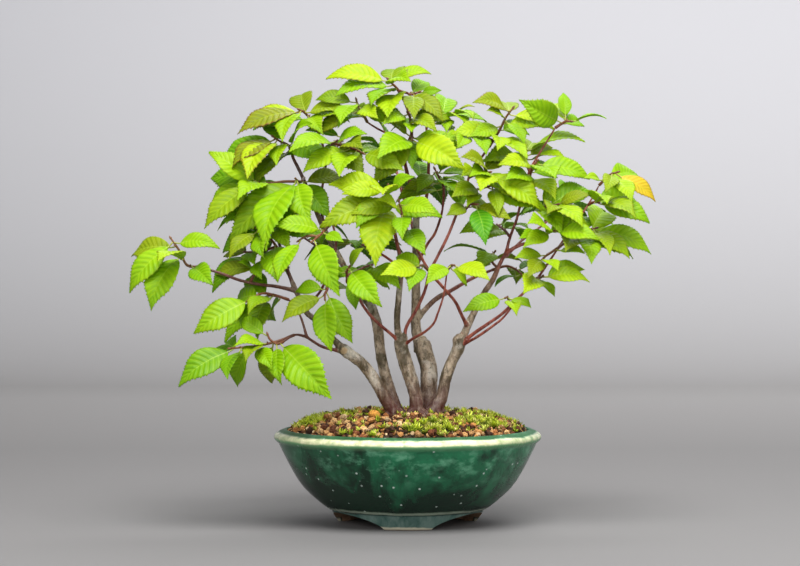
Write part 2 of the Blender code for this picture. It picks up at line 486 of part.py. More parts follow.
def add_node(name, points, faces, smooth=True):
    """One object from points in millimetres, moved to the part's own origin."""
    mesh = bpy.data.meshes.new(name)
    shift = Vector((MODEL_SHIFT[0], MODEL_SHIFT[1], 0.0))
    mesh.from_pydata([(Vector(point) + shift) * MM for point in points], [], faces)
    if smooth:
        mesh.shade_smooth()
        mesh.set_sharp_from_angle(angle=math.radians(40.0))
    mesh.materials.append(colour_of(name))
    node = bpy.data.objects.new(name, mesh)
    bpy.context.scene.collection.objects.link(node)
    return node


def triangles(faces):
    """Split quads and fans so that every face is flat."""
    result = []
    for face in faces:
        for index in range(1, len(face) - 1):
            result.append((face[0], face[index], face[index + 1]))
    return result


def turned(profile, segments):
    """A closed ring-shaped solid: profile runs round the section, seen from +X, clockwise."""
    points = []
    for step in range(segments):
        angle = 2.0 * math.pi * step / segments
        for radius, height in profile:
            points.append((radius * math.cos(angle), radius * math.sin(angle), height))
    count = len(profile)
    faces = []
    for step in range(segments):
        here = step * count
        there = ((step + 1) % segments) * count
        for index in range(count):
            after = (index + 1) % count
            faces.append((here + index, there + index, there + after, here + after))
    return points, faces


def turned_solid(profile, segments):
    """A solid of revolution whose open profile starts and ends on the axis."""
    inner = profile[1:-1]
    points = [(0.0, 0.0, profile[0][1])]
    for step in range(segments):
        angle = 2.0 * math.pi * step / segments
        for radius, height in inner:
            points.append((radius * math.cos(angle), radius * math.sin(angle), height))
    points.append((0.0, 0.0, profile[-1][1]))
    last = len(points) - 1
    count = len(inner)
    faces = []
    for step in range(segments):
        here = 1 + step * count
        there = 1 + ((step + 1) % segments) * count
        faces.append((0, there, here))
        for index in range(count - 1):
            faces.append((here + index, there + index, there + index + 1, here + index + 1))
        faces.append((last, here + count - 1, there + count - 1))
    return points, faces


def tube(points, radii, sides, upright_start=False):
    """A closed tapered tube along a polyline, as triangles."""
    centres = [Vector(point) for point in points]
    count = len(centres)
    rings = []
    side = Vector((1.0, 0.0, 0.0))
    for index, centre in enumerate(centres):
        before = centres[max(index - 1, 0)]
        after = centres[min(index + 1, count - 1)]
        along = (after - before).normalized()
        if index == 0 and upright_start:
            along = Vector((0.0, 0.0, 1.0))
        if index == 0 and abs(side.dot(along)) > 0.9:
            side = Vector((0.0, 1.0, 0.0))
        side = (side - along * side.dot(along)).normalized()
        other = along.cross(side)
        for corner in range(sides):
            angle = 2.0 * math.pi * corner / sides
            rings.append(centre + (side * math.cos(angle) + other * math.sin(angle)) * radii[index])
    faces = []
    for index in range(count - 1):
        for corner in range(sides):
            after = (corner + 1) % sides
            low = index * sides
            high = low + sides
            faces.append((low + corner, low + after, high + after, high + corner))
    faces.append(tuple(range(sides - 1, -1, -1)))
    faces.append(tuple((count - 1) * sides + corner for corner in range(sides)))
    return rings, triangles(faces)


def point_on(route, share):
    """The point a share of the way along a route, and the direction there."""
    centres = [Vector(point) for point in route]
    lengths = [(b - a).length for a, b in zip(centres, centres[1:])]
    left = share * sum(lengths)
    for start, end, length in zip(centres, centres[1:], lengths):
        if left <= length or end is centres[-1]:
            return start + (end - start) * min(left / length, 1.0), (end - start).normalized()
        left -= length


def leaf_axes(base, heading, dip, roll):
    """The direction a leaf points, the way its upper face looks, and its side."""
    turn = math.radians(heading)
    down = math.radians(dip)
    along = Vector((math.cos(turn) * math.cos(down), math.sin(turn) * math.cos(down), -math.sin(down)))
    outward = Vector((base.x, base.y, 0.0))
    if outward.length > 1.0:
        outward.normalize()
    front = min(max((30.0 - base.y) / 40.0, 0.0), 1.0)
    look = Vector((0.0, -front, 0.9)) + outward * 0.4
    up = (look - along * look.dot(along)).normalized()
    up.rotate(Quaternion(along, math.radians(roll)))
    return along, up, along.cross(up)


def leaf_shell(base, heading, dip, reach, roll, grow=0.0, blade_only=False):
    """A leaf as a closed shell: three-cornered sections from the stalk to the tip.

    With grow, a plain four-cornered shell that much larger, for clearance tests.
    """
    along, up, side = leaf_axes(base, heading, dip, roll)
    stalk = min(PETIOLE_LENGTH, 0.25 * reach)
    blade = reach - stalk
    half = 0.5 * LEAF_WIDTH * blade
    foot = base + along * stalk
    sections = []
    if not blade_only:
        start = base + along * (1.2 if grow else 0.0)
        sections.append((start, PETIOLE_RADIUS, PETIOLE_RADIUS, 0.5 * PETIOLE_RADIUS))
    for share, width, keel in LEAF_STATIONS:
        centre = foot + along * (blade * share) + up * (blade * LEAF_ARCH * 4.0 * share * (1.0 - share))
        sections.append((centre, half * width, keel, 0.0))
    tip = foot + along * (blade + grow)
    points = []
    for centre, width, keel, top in sections:
        points.append(centre + side * (width + 1.6 * grow) + up * top)
        if grow:
            points.append(centre + up * (top + grow))
        points.append(centre - side * (width + 1.6 * grow) + up * top)
        points.append(centre - up * (keel + grow))
    corners = 4 if grow else 3
    faces = [tuple(range(corners))]
    for index in range(len(sections) - 1):
        low = index * corners
        high = low + corners
        for corner in range(corners):
            after = (corner + 1) % corners
            faces.append((low + corner, high + corner, high + after, low + after))
    points.append(tip)
    last = (len(sections) - 1) * corners
    for corner in range(corners):
        after = (corner + 1) % corners
        faces.append((last + corner, len(points) - 1, last + after))
    return points, triangles(faces)


class Obstacle:
    """A shell that later shells must stay clear of."""

    def __init__(self, owner, part, points, faces):
        self.owner = owner
        self.part = part
        self.low = [min(point[axis] for point in points) for axis in range(3)]
        self.high = [max(point[axis] for point in points) for axis in range(3)]
        self.tree = BVHTree.FromPolygons([tuple(point) for point in points], faces)

    def meets(self, other):
        for axis in range(3):
            if self.low[axis] > other.high[axis] or other.low[axis] > self.high[axis]:
                return False
        return bool(self.tree.overlap(other.tree))


def leaf_variants():
    """The changes to try, from the smallest to the largest."""
    changes = []
    for turn in HEADING_STEPS:
        for drop in DIP_STEPS:
            for scale in REACH_STEPS:
                cost = abs(turn) / 10.0 + abs(drop) / 12.0 + (1.0 - scale) * 9.0
                changes.append((cost, turn, drop, scale))
    changes.sort(key=lambda change: change[0])
    return [change[1:] for change in changes]


def clear_twig_start(route, obstacles, owner):
    """Move a twig's first point along its route until it no longer meets the wood."""
    length = (Vector(route[1]) - Vector(route[0])).length
    for step in range(1, 40):
        share = 0.25 * step / length
        if share > 0.9:
            break
        start = Vector(route[0]).lerp(Vector(route[1]), share)
        points = [start] + [Vector(point) for point in route[1:]]
        radii = twig_radii(points)
        test = Obstacle(owner, "twig", *tube(points, [radius + CLEARANCE for radius in radii], 8))
        if not any(test.meets(other) for other in obstacles):
            return points
    return [Vector(route[0]).lerp(Vector(route[1]), 0.5)] + [Vector(point) for point in route[1:]]


def twig_radii(points):
    last = len(points) - 1
    return [TWIG_RADIUS + (TWIG_TIP_RADIUS - TWIG_RADIUS) * index / last for index in range(last + 1)]


def fit_leaf(owner, base, row, obstacles, changes):
    """The first change of a leaf that keeps it clear of everything near it."""
    heading, dip, reach, roll = row
    for turn, drop, scale in changes:
        placed = (heading + turn, dip + drop, reach * scale, roll)
        whole = Obstacle(owner, "leaf", *leaf_shell(base, *placed, grow=CLEARANCE))
        blade = Obstacle(owner, "leaf", *leaf_shell(base, *placed, grow=CLEARANCE, blade_only=True))
        free = True
        for other in obstacles:
            test = blade if other.owner == owner else whole
            if test.meets(other):
                free = False
                break
        if free:
            return placed
    return None


def spray_plan():
    """Every spray: name, twigs, leaf rows as (twig, along, heading, dip, reach, roll)."""
    plan = [(name, twigs, rows) for name, twigs, rows in SPRAYS]
    for name, twig in BACK_SPRAYS:
        course = Vector(twig[-1]) - Vector(twig[0])
        heading = math.degrees(math.atan2(course.y, course.x))
        rows = [(0, along, heading + turn, dip, reach, 0) for along, turn, dip, reach in BACK_FAN]
        plan.append((name, (twig,), rows))
    return plan


def grow_sprays(wood):
    """Twigs and leaves of every spray, each clear of the wood and of the other sprays."""
    obstacles = list(wood)
    changes = leaf_variants()
    grown = []
    for name, twigs, rows in spray_plan():
        shells = []
        routes = [clear_twig_start(twigs[0], obstacles, name)] + [list(twig) for twig in twigs[1:]]
        for route in routes:
            shells.append(tube(route, twig_radii(route), 4))
            obstacles.append(Obstacle(name, "twig", *shells[-1]))
        grown.append([name, shells, routes, rows])
    for entry in grown:
        name, shells, routes, rows = entry
        for number, along, heading, dip, reach, roll in rows:
            base, course = point_on(routes[number], min(along, 0.93))
            placed = fit_leaf(name, base, (heading, dip, reach, roll), obstacles, changes)
            if placed is None:
                continue
            shell = leaf_shell(base, *placed)
            shells.append(shell)
            obstacles.append(Obstacle(name, "leaf", *leaf_shell(base, *placed)))
    return [(name, shells) for name, shells, routes, rows in grown]


def tidy_triangles(mesh, flat_angle, shortest):
    """A mesh as triangles, with the cuts across nearly flat faces dissolved first."""
    work = bmesh.new()
    work.from_mesh(mesh)
    if flat_angle:
        bmesh.ops.dissolve_limit(work, angle_limit=flat_angle, verts=work.verts, edges=work.edges)
    bmesh.ops.triangulate(work, faces=work.faces)
    if shortest:
        bmesh.ops.dissolve_degenerate(work, dist=shortest, edges=work.edges)
        bmesh.ops.triangulate(work, faces=work.faces)
    work.verts.ensure_lookup_table()
    points = [vertex.co.copy() for vertex in work.verts]
    faces = [tuple(vertex.index for vertex in face.verts) for face in work.faces]
    work.free()
    return points, faces


def is_one_body(points, faces):
    """True when every edge joins two faces and the faces form one connected surface."""
    edges = {}
    for face in faces:
        for index, corner in enumerate(face):
            edge = (corner, face[(index + 1) % len(face)])
            if edge in edges or len(set(face)) < 3:
                return False
            edges[edge] = face
    if any((end, start) not in edges for start, end in edges):
        return False
    seen = {faces[0]}
    waiting = [faces[0]]
    while waiting:
        face = waiting.pop()
        for index, corner in enumerate(face):
            beyond = edges[(face[(index + 1) % len(face)], corner)]
            if beyond not in seen:
                seen.add(beyond)
                waiting.append(beyond)
    return len(seen) == len(faces)


def joined_body(name, shells):
    """One closed body from overlapping closed shells, by Boolean union."""
    group = bpy.data.collections.new(name + "_cutters")
    bodies = []
    for points, faces in shells:
        mesh = bpy.data.meshes.new(name)
        mesh.from_pydata([Vector(point) for point in points], [], faces)
        bodies.append(bpy.data.objects.new(name + "_shell", mesh))
    bpy.context.scene.collection.objects.link(bodies[0])
    for body in bodies[1:]:
        group.objects.link(body)
    union = bodies[0].modifiers.new("union", "BOOLEAN")
    union.operation = "UNION"
    union.operand_type = "COLLECTION"
    union.collection = group
    union.solver = "EXACT"
    graph = bpy.context.evaluated_depsgraph_get()
    merged = bpy.data.meshes.new_from_object(bodies[0].evaluated_get(graph))
    for flat_angle, shortest in ((2.0, 0.003), (1.0, 0.003), (2.0, 0.0), (1.0, 0.0), (0.0, 0.0)):
        points, faces = tidy_triangles(merged, math.radians(flat_angle), shortest)
        if is_one_body(points, faces):
            break
    for body in bodies:
        bpy.data.objects.remove(body, do_unlink=True)
    bpy.data.collections.remove(group)
    return add_node(name, points, faces)


def make_pot():
    profile = [
        (DRAIN_HOLE_RADIUS, POT_FLOOR_UNDERSIDE), (FOOT_INNER_RADIUS, POT_FLOOR_UNDERSIDE),
        (FOOT_INNER_RADIUS, 0.0), (33.0, 0.0), (33.6, 0.4), (FOOT_OUTER_RADIUS, 6.6), (36.5, 7.0),
        (37.4, 7.0), (40.8, 9.8), (46.3, 14.3), (51.6, 20.6), (56.2, 28.7), (60.7, 37.3),
        (62.7, 39.8), (POT_RIM_RADIUS, 41.1), (62.6, 42.4), (58.6, 44.3), (57.3, POT_HEIGHT),
        (56.6, 43.8), (56.2, 42.0), (52.0, 31.0), (46.5, 21.0), (38.0, 13.5), (30.0, POT_FLOOR_TOP),
        (DRAIN_HOLE_RADIUS, POT_FLOOR_TOP),
    ]
    points, faces = turned(profile, POT_SEGMENTS)
    pot = add_node("pot", points, faces)
    shift = Vector((MODEL_SHIFT[0], MODEL_SHIFT[1], 0.0))
    for azimuth in FOOT_ARCH_AZIMUTHS:
        turn = math.radians(azimuth)
        outward = Vector((math.cos(turn), math.sin(turn), 0.0))
        across = Vector((-math.sin(turn), math.cos(turn), 0.0))
        outline = []
        for step in range(17):
            angle = math.pi * step / 16.0
            outline.append(across * (FOOT_ARCH_HALF_WIDTH * math.cos(angle))
                           + Vector((0.0, 0.0, (FOOT_ARCH_HEIGHT + 0.3) * math.sin(angle) - 0.3)))
        outline.insert(0, across * FOOT_ARCH_HALF_WIDTH - Vector((0.0, 0.0, 3.0)))
        outline.append(across * -FOOT_ARCH_HALF_WIDTH - Vector((0.0, 0.0, 3.0)))
        count = len(outline)
        corners = [(point + outward * 18.0 + shift) * MM for point in outline]
        corners += [(point + outward * 50.0 + shift) * MM for point in outline]
        sides = [tuple(range(count - 1, -1, -1)), tuple(range(count, 2 * count))]
        for index in range(count):
            after = (index + 1) % count
            sides.append((index, after, count + after, count + index))
        mesh = bpy.data.meshes.new("arch")
        mesh.from_pydata(corners, [], sides)
        cutter = bpy.data.objects.new("cutter_arch_%d" % int(azimuth), mesh)
        bpy.context.scene.collection.objects.link(cutter)
        cutter.hide_render = True
        cutter.display_type = "WIRE"
        cut = pot.modifiers.new("arch", "BOOLEAN")
        cut.operation = "DIFFERENCE"
        cut.object = cutter
        cut.solver = "EXACT"
    return pot


def make_screen():
    """A square of plastic mesh over the drain hole: bars around square windows."""
    half = 0.5 * SCREEN_SIZE
    middle = (SCREEN_WINDOWS - 1) / 2.0
    lines = [-half]
    for index in range(SCREEN_WINDOWS):
        centre = (index - middle) * SCREEN_PITCH
        lines += [centre - 0.5 * SCREEN_WINDOW, centre + 0.5 * SCREEN_WINDOW]
    lines.append(half)
    count = len(lines)
    low = POT_FLOOR_TOP + GAP
    points = []
    for height in (low, low + SCREEN_THICKNESS):
        for y in lines:
            points += [(x, y, height) for x in lines]

    def corner(level, column, row):
        return level * count * count + row * count + column

    def solid(column, row):
        if not (0 <= column < count - 1 and 0 <= row < count - 1):
            return False
        return not (column % 2 == 1 and row % 2 == 1)

    faces = []
    for row in range(count - 1):
        for column in range(count - 1):
            if not solid(column, row):
                continue
            here = [(column, row), (column + 1, row), (column + 1, row + 1), (column, row + 1)]
            faces.append(tuple(corner(1, *place) for place in here))
            faces.append(tuple(corner(0, *place) for place in reversed(here)))
            beyond = ((column, row - 1), (column + 1, row), (column, row + 1), (column - 1, row))
            for index, place in enumerate(beyond):
                if solid(*place):
                    continue
                start = here[index]
                end = here[(index + 1) % 4]
                faces.append((corner(0, *start), corner(0, *end), corner(1, *end), corner(1, *start)))
    add_node("drain_screen", points, faces, smooth=False)


def make_wire():
    """The wire staple: over the screen, down through two windows, out under the floor."""
    top = POT_FLOOR_TOP + GAP + SCREEN_THICKNESS + GAP + WIRE_RADIUS
    under = POT_FLOOR_UNDERSIDE - GAP - WIRE_RADIUS
    leg = SCREEN_PITCH
    half = [(leg - 1.2, 0.0, top), (leg - 0.3, 0.0, top - 0.25), (leg, 0.0, top - 1.0), (leg, 0.0, under + 1.0),
            (leg + 0.3, 0.0, under + 0.25), (leg + 1.2, 0.0, under), (leg + 7.0, 0.0, under)]
    route = [(-x, y, z) for x, y, z in reversed(half)] + half
    points, faces = tube(route, [WIRE_RADIUS] * len(route), 8)
    add_node("screen_wire", points, faces)


def soil_height(radius):
    """Height of the soil's surface at a distance from the pot's axis."""
    if radius <= SOIL_TOP[0][0]:
        return SOIL_TOP[0][1]
    for (near, high), (far, low) in zip(SOIL_TOP, SOIL_TOP[1:]):
        if radius <= far:
            return high + (low - high) * (radius - near) / (far - near)
    return SOIL_TOP[-1][1]


def make_soil():
    pocket = SCREEN_SIZE * 0.75
    floor = POT_FLOOR_TOP + GAP + 0.1
    wire_top = POT_FLOOR_TOP + SCREEN_THICKNESS + 2.0 * GAP + 2.0 * WIRE_RADIUS + GAP
    profile = [(0.0, wire_top), (pocket, wire_top), (pocket, floor), (29.8, floor), (37.7, 13.95),
               (46.0, 21.35), (51.55, 31.2), (55.75, 42.1)]
    profile += list(reversed(SOIL_TOP))
    profile += [(23.9, 49.0), (16.4, 24.6), (0.0, 24.6)]
    points, faces = turned_solid(profile, POT_SEGMENTS)
    add_node("soil", points, faces)
    ball = [(0.0, 25.0), (16.0, 25.0), (ROOT_BALL_RADIUS, 49.0), (ROOT_BALL_RADIUS, ROOT_BALL_TOP),
            (0.0, ROOT_BALL_TOP)]
    points, faces = turned_solid(ball, 28)
    add_node("root_ball", points, faces)


def make_moss():
    rings = 3
    segments = 14
    for name, x, y, long_half, wide_half, turn, height in MOSS_PADS:
        angle = math.radians(turn)
        tops = []
        bottoms = []
        places = [(0.0, 0.0, 0.0)]
        for ring in range(1, rings + 1):
            share = ring / rings
            for step in range(segments):
                around = 2.0 * math.pi * step / segments
                wave = 1.0 + 0.08 * math.sin(3.0 * around + x) + 0.05 * math.sin(5.0 * around + y)
                places.append((share, share * wave * math.cos(around), share * wave * math.sin(around)))
        for share, across, deep in places:
            px = x + long_half * across * math.cos(angle) - wide_half * deep * math.sin(angle)
            py = y + long_half * across * math.sin(angle) + wide_half * deep * math.cos(angle)
            low = soil_height(math.hypot(px, py)) + GAP + 0.15
            bottoms.append((px, py, low))
            tops.append((px, py, low + 0.5 + height * (1.0 - share * share)))
        count = len(places)
        faces = []
        for step in range(segments):
            after = (step + 1) % segments
            faces.append((0, 1 + step, 1 + after))
            faces.append((count, count + 1 + after, count + 1 + step))
            for ring in range(rings - 1):
                near = 1 + ring * segments
                far = near + segments
                faces.append((near + step, far + step, far + after, near + after))
                faces.append((count + near + after, count + far + after, count + far + step,
                              count + near + step))
            rim = 1 + (rings - 1) * segments
            faces.append((rim + step, count + rim + step, count + rim + after, rim + after))
        add_node(name, tops + bottoms, triangles(faces))


def make_stems():
    """Each stem is one body; its routes are also returned as obstacles for the sprays."""
    wood = []
    for name, routes in STEMS:
        shells = []
        for index, route in enumerate(routes):
            centres = [point[:3] for point in route]
            radii = [point[3] for point in route]
            shells.append(tube(centres, radii, 8 if index == 0 else 6, upright_start=index == 0))
            wood.append(Obstacle(name, "wood", *shells[-1]))
        joined_body(name, shells)
    return wood


def main():
    clear_scene()
    make_pot()
    make_screen()
    make_wire()
    make_soil()
    make_moss()
    wood = make_stems()
    for name, shells in grow_sprays(wood):
        joined_body(name, shells)


main()
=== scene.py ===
"""Looks of a clump-style hornbeam bonsai in a round green-glazed pot on three feet.

Laid out as a Blender add-on and run as a script. Design numbers of the tree and
the pot are in millimetres from the pot's axis at the surface the pot stands on,
with +X to the right of the front view and +Y away from it. MODEL_SHIFT moves
them into the part's own frame, and place() turns them into metres.
"""
import math
import random

import bmesh
import bpy
import numpy as np
from mathutils import Matrix, Quaternion, Vector, kdtree, noise


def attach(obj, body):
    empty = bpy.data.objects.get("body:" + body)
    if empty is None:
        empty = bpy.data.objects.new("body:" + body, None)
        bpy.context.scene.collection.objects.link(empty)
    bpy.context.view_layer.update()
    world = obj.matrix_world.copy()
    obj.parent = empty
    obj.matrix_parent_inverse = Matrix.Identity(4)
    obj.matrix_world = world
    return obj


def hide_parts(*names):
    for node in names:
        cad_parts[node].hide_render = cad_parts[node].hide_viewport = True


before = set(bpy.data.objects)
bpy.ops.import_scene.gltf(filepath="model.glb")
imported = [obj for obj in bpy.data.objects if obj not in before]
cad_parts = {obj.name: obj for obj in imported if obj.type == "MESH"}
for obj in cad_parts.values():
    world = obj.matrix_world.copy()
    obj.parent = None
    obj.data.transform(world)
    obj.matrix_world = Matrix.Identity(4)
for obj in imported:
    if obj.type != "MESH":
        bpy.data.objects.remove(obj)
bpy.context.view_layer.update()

bl_info = {
    "name": "Clump Bonsai",
    "version": (1, 0, 0),
    "blender": (4, 5, 0),
    "location": "View3D > Sidebar > Bonsai",
    "description": "Builds the pot, soil, moss, stems and leaves of a small clump bonsai",
    "category": "Object",
}

MM = 0.001
MODEL_SHIFT = (6.93, -12.45)
BODY = "root"


# --- planting ------------------------------------------------------------
# soil surface: radius, height
SOIL_TOP = (
    (23.9, 50.5), (33.0, 49.7), (42.0, 47.9), (49.0, 45.9), (54.0, 43.8), (55.8, 42.6),
)

# moss pads: name, centre x, centre y, half length, half width, turn, height
MOSS_PADS = (
    ("moss_left", -44.0, -6.0, 9.0, 14.0, 0.0, 2.2),
    ("moss_front", 9.0, -43.0, 13.0, 8.0, 4.0, 2.4),
    ("moss_right_front", 34.0, -25.0, 13.0, 7.0, 30.0, 2.2),
    ("moss_right", 41.0, 12.0, 7.0, 14.0, 10.0, 2.2),
    ("moss_back", -10.0, 40.0, 15.0, 9.0, 0.0, 2.0),
)

# --- stems: routes of (x, y, z, radius); the first route of each is its trunk ---
STEMS = (
    ("stem_left_front", (
        ((-6, -17, 50.8, 4.1), (-7, -17.3, 54, 3.3), (-10, -18, 59, 3.0), (-15, -19, 68, 2.7),
         (-21, -20, 76, 2.6), (-26, -21, 80, 2.6), (-30, -21, 83, 2.7)),
        ((-27.5, -21, 80.5, 2.1), (-36, -22, 89, 1.7), (-42, -21, 96, 1.6), (-47, -20, 100, 1.5),
         (-51, -19, 108, 1.4), (-55, -17, 117, 1.2), (-58, -15, 126, 1.0), (-61, -14, 135, 0.9)),
        ((-31, -21, 82, 1.1), (-39, -25, 84, 0.95), (-44, -28, 87, 0.9), (-47, -30, 89, 0.9),
         (-52, -33, 90, 0.8), (-57, -35, 87, 0.7)),
        ((-46.5, -29.6, 88.8, 0.8), (-49, -28, 97, 0.75), (-52, -26, 103, 0.75), (-55, -26, 106, 0.7)),
        ((-52, -18.7, 110, 1.2), (-61, -20, 112, 1.1), (-69, -22, 113, 1.0), (-78, -23, 115, 0.95),
         (-86, -24, 118, 0.9), (-96, -25, 121, 0.8)),
        ((-47.5, -20, 102, 1.0), (-41, -24, 109, 0.9), (-38, -27, 115, 0.9), (-35, -28, 123, 0.85),
         (-33, -28, 133, 0.8), (-35, -27, 142, 0.7)),
    )),
    ("stem_left_back", (
        ((-5, -8, 50.8, 3.4), (-5.4, -8, 54, 2.9), (-8, -7, 62, 2.7), (-11, -6, 72, 2.6),
         (-13, -4, 82, 2.5), (-14, -3, 92, 2.4), (-17, -2, 102, 2.2), (-21, -1, 107, 1.9),
         (-26, 0, 113, 1.7), (-31, 2, 123, 1.5), (-36, 3, 132, 1.4), (-41, 3, 142, 1.2),
         (-46, 3, 154, 1.0), (-50, 3, 164, 0.9), (-54, 3, 172, 0.8)),
        ((-40, 3, 140, 1.0), (-41, 8, 155, 0.9), (-39, 11, 169, 0.85), (-41, 10, 181, 0.8),
         (-45, 7, 189, 0.7)),
        ((-30.5, 1.8, 122, 1.0), (-41, 14, 129, 0.9), (-52, 26, 136, 0.8), (-64, 38, 141, 0.7)),
    )),
    ("stem_middle", (
        ((4, -13, 50.8, 4.2), (4, -13, 54, 3.5), (4, -13, 59, 3.2), (2, -12, 67, 3.2),
         (-1, -11, 76, 3.3), (-3, -11, 84, 3.2), (-3, -11, 88, 3.0)),
        ((-3.5, -11, 85, 2.0), (-5, -12, 95, 1.7), (-4, -13, 109, 1.6), (-3, -15, 122, 1.4),
         (-5, -17, 132, 1.2), (-7, -19, 141, 1.0), (-9, -20, 145, 0.9)),
        ((-4, -11.6, 85.6, 1.2), (-7, -14, 89, 1.1), (-15, -18, 96, 1.0), (-20, -21, 102, 0.95),
         (-24, -24, 109, 0.9), (-28, -27, 114, 0.8)),
        ((-1.8, -11.6, 85.5, 1.2), (-0.6, -13, 93, 1.1), (4, -14, 101, 1.05), (8, -15, 110, 1.0),
         (10, -15, 118, 1.0), (14, -14, 126, 0.95), (19, -12, 136, 0.95), (23, -9, 146, 0.9),
         (27, -7, 155, 0.85), (29, -6, 164, 0.8), (33, -6, 170, 0.8), (38, -7, 177, 0.75)),
        ((-1.2, -12.6, 85, 1.0), (3, -16, 88, 0.9), (8, -20, 91, 0.85), (12, -23, 95, 0.8),
         (14, -25, 100, 0.75), (16, -27, 106, 0.7), (17, -29, 111, 0.65), (18, -31, 119, 0.6)),
    )),
    ("stem_back", (
        ((10, 2, 50.8, 4.7), (10, 2, 55, 4.2), (10, 3, 64, 4.0), (10, 4, 73, 4.0), (8, 5, 80, 4.1),
         (7, 6, 85, 3.7), (6.8, 6.2, 86.6, 2.4)),
        ((6.5, 6, 81, 3.0), (4, 8, 92, 2.7), (4, 10, 104, 2.5), (4, 11, 118, 2.2), (4, 11, 132, 2.0),
         (4, 11, 145, 1.7), (2, 10, 157, 1.4), (-1, 8, 169, 1.1), (-1, 7, 176, 1.0), (2, 5, 185, 0.9),
         (1, 4, 192, 0.8), (-2, 2, 200, 0.7)),
        ((4, 11, 143, 1.3), (9, 13, 154, 1.1), (10, 15, 166, 1.0), (10, 17, 177, 0.9), (9, 18, 188, 0.8)),
        ((4.3, 8.6, 96, 1.5), (13, 14, 105, 1.4), (22, 20, 110, 1.3), (31, 27, 115, 1.1),
         (41, 34, 119, 0.9)),
        ((4, 10.6, 121, 1.1), (9, 4, 131, 0.95), (13, 1, 137, 0.9), (16, -1, 146, 0.8), (17, -3, 154, 0.7)),
        ((-1, 7.4, 172, 0.9), (-7, 4, 182, 0.8), (-14, 1, 186, 0.7), (-19, -2, 189, 0.65)),
        ((4, 11.5, 132, 1.2), (1, 28, 146, 1.0), (-3, 42, 158, 0.9), (-6, 52, 171, 0.8)),
        ((4, 11, 110, 1.2), (-3, 28, 119, 1.0), (-10, 42, 125, 0.9), (-19, 54, 130, 0.8)),
    )),
    ("stem_right", (
        ((13, -8, 50.8, 4.1), (13, -8, 54, 3.4), (16, -7, 60, 2.8), (18, -6, 69, 2.7), (21, -5, 77, 2.6),
         (24, -5, 83, 2.9), (24, -5, 87, 2.8), (24.2, -5, 88.4, 1.8)),
        ((24, -5, 83, 2.3), (29, -5, 95, 1.9), (33, -6, 103, 1.6), (36, -7, 109, 1.5), (40, -8, 115, 1.4),
         (43, -9, 122, 1.3), (46, -10, 127, 1.2), (52, -11, 131, 1.1), (60, -12, 133, 0.9)),
        ((28, -5.4, 93, 1.2), (25, -12, 99, 1.1), (22, -17, 105, 1.05), (16, -22, 112, 1.0),
         (10, -25, 119, 1.0), (5, -27, 128, 0.9), (1, -29, 135, 0.8)),
        ((24.6, -5.4, 84, 1.3), (30, -8, 89, 1.2), (37, -10.5, 94, 1.1), (44, -12, 99, 1.0),
         (49, -14, 104, 0.95), (53, -16, 108, 0.9), (59, -17, 114, 0.85), (64, -18, 121, 0.8),
         (70, -19, 130, 0.7)),
        ((26, -6.8, 84.6, 1.0), (32, -12, 88, 0.9), (39, -15, 93, 0.85), (44, -17, 97, 0.8),
         (48, -19, 102, 0.7)),
        ((45.6, -9.7, 126, 1.0), (48, -9, 135, 0.95), (51, -8, 143, 0.9), (53, -8, 151, 0.85),
         (55, -8, 158, 0.8), (57, -8, 166, 0.75), (61, -9, 173, 0.7), (66, -9, 181, 0.65),
         (69, -9, 186, 0.6)),
        ((69.4, -19, 129, 0.75), (76, -18, 139, 0.7), (82, -17, 147, 0.65), (87, -16, 155, 0.6),
         (89, -16, 159, 0.55)),
        ((46, -9.8, 126, 0.9), (55, 8, 134, 0.85), (64, 24, 140, 0.8), (72, 38, 146, 0.7)),
    )),
)

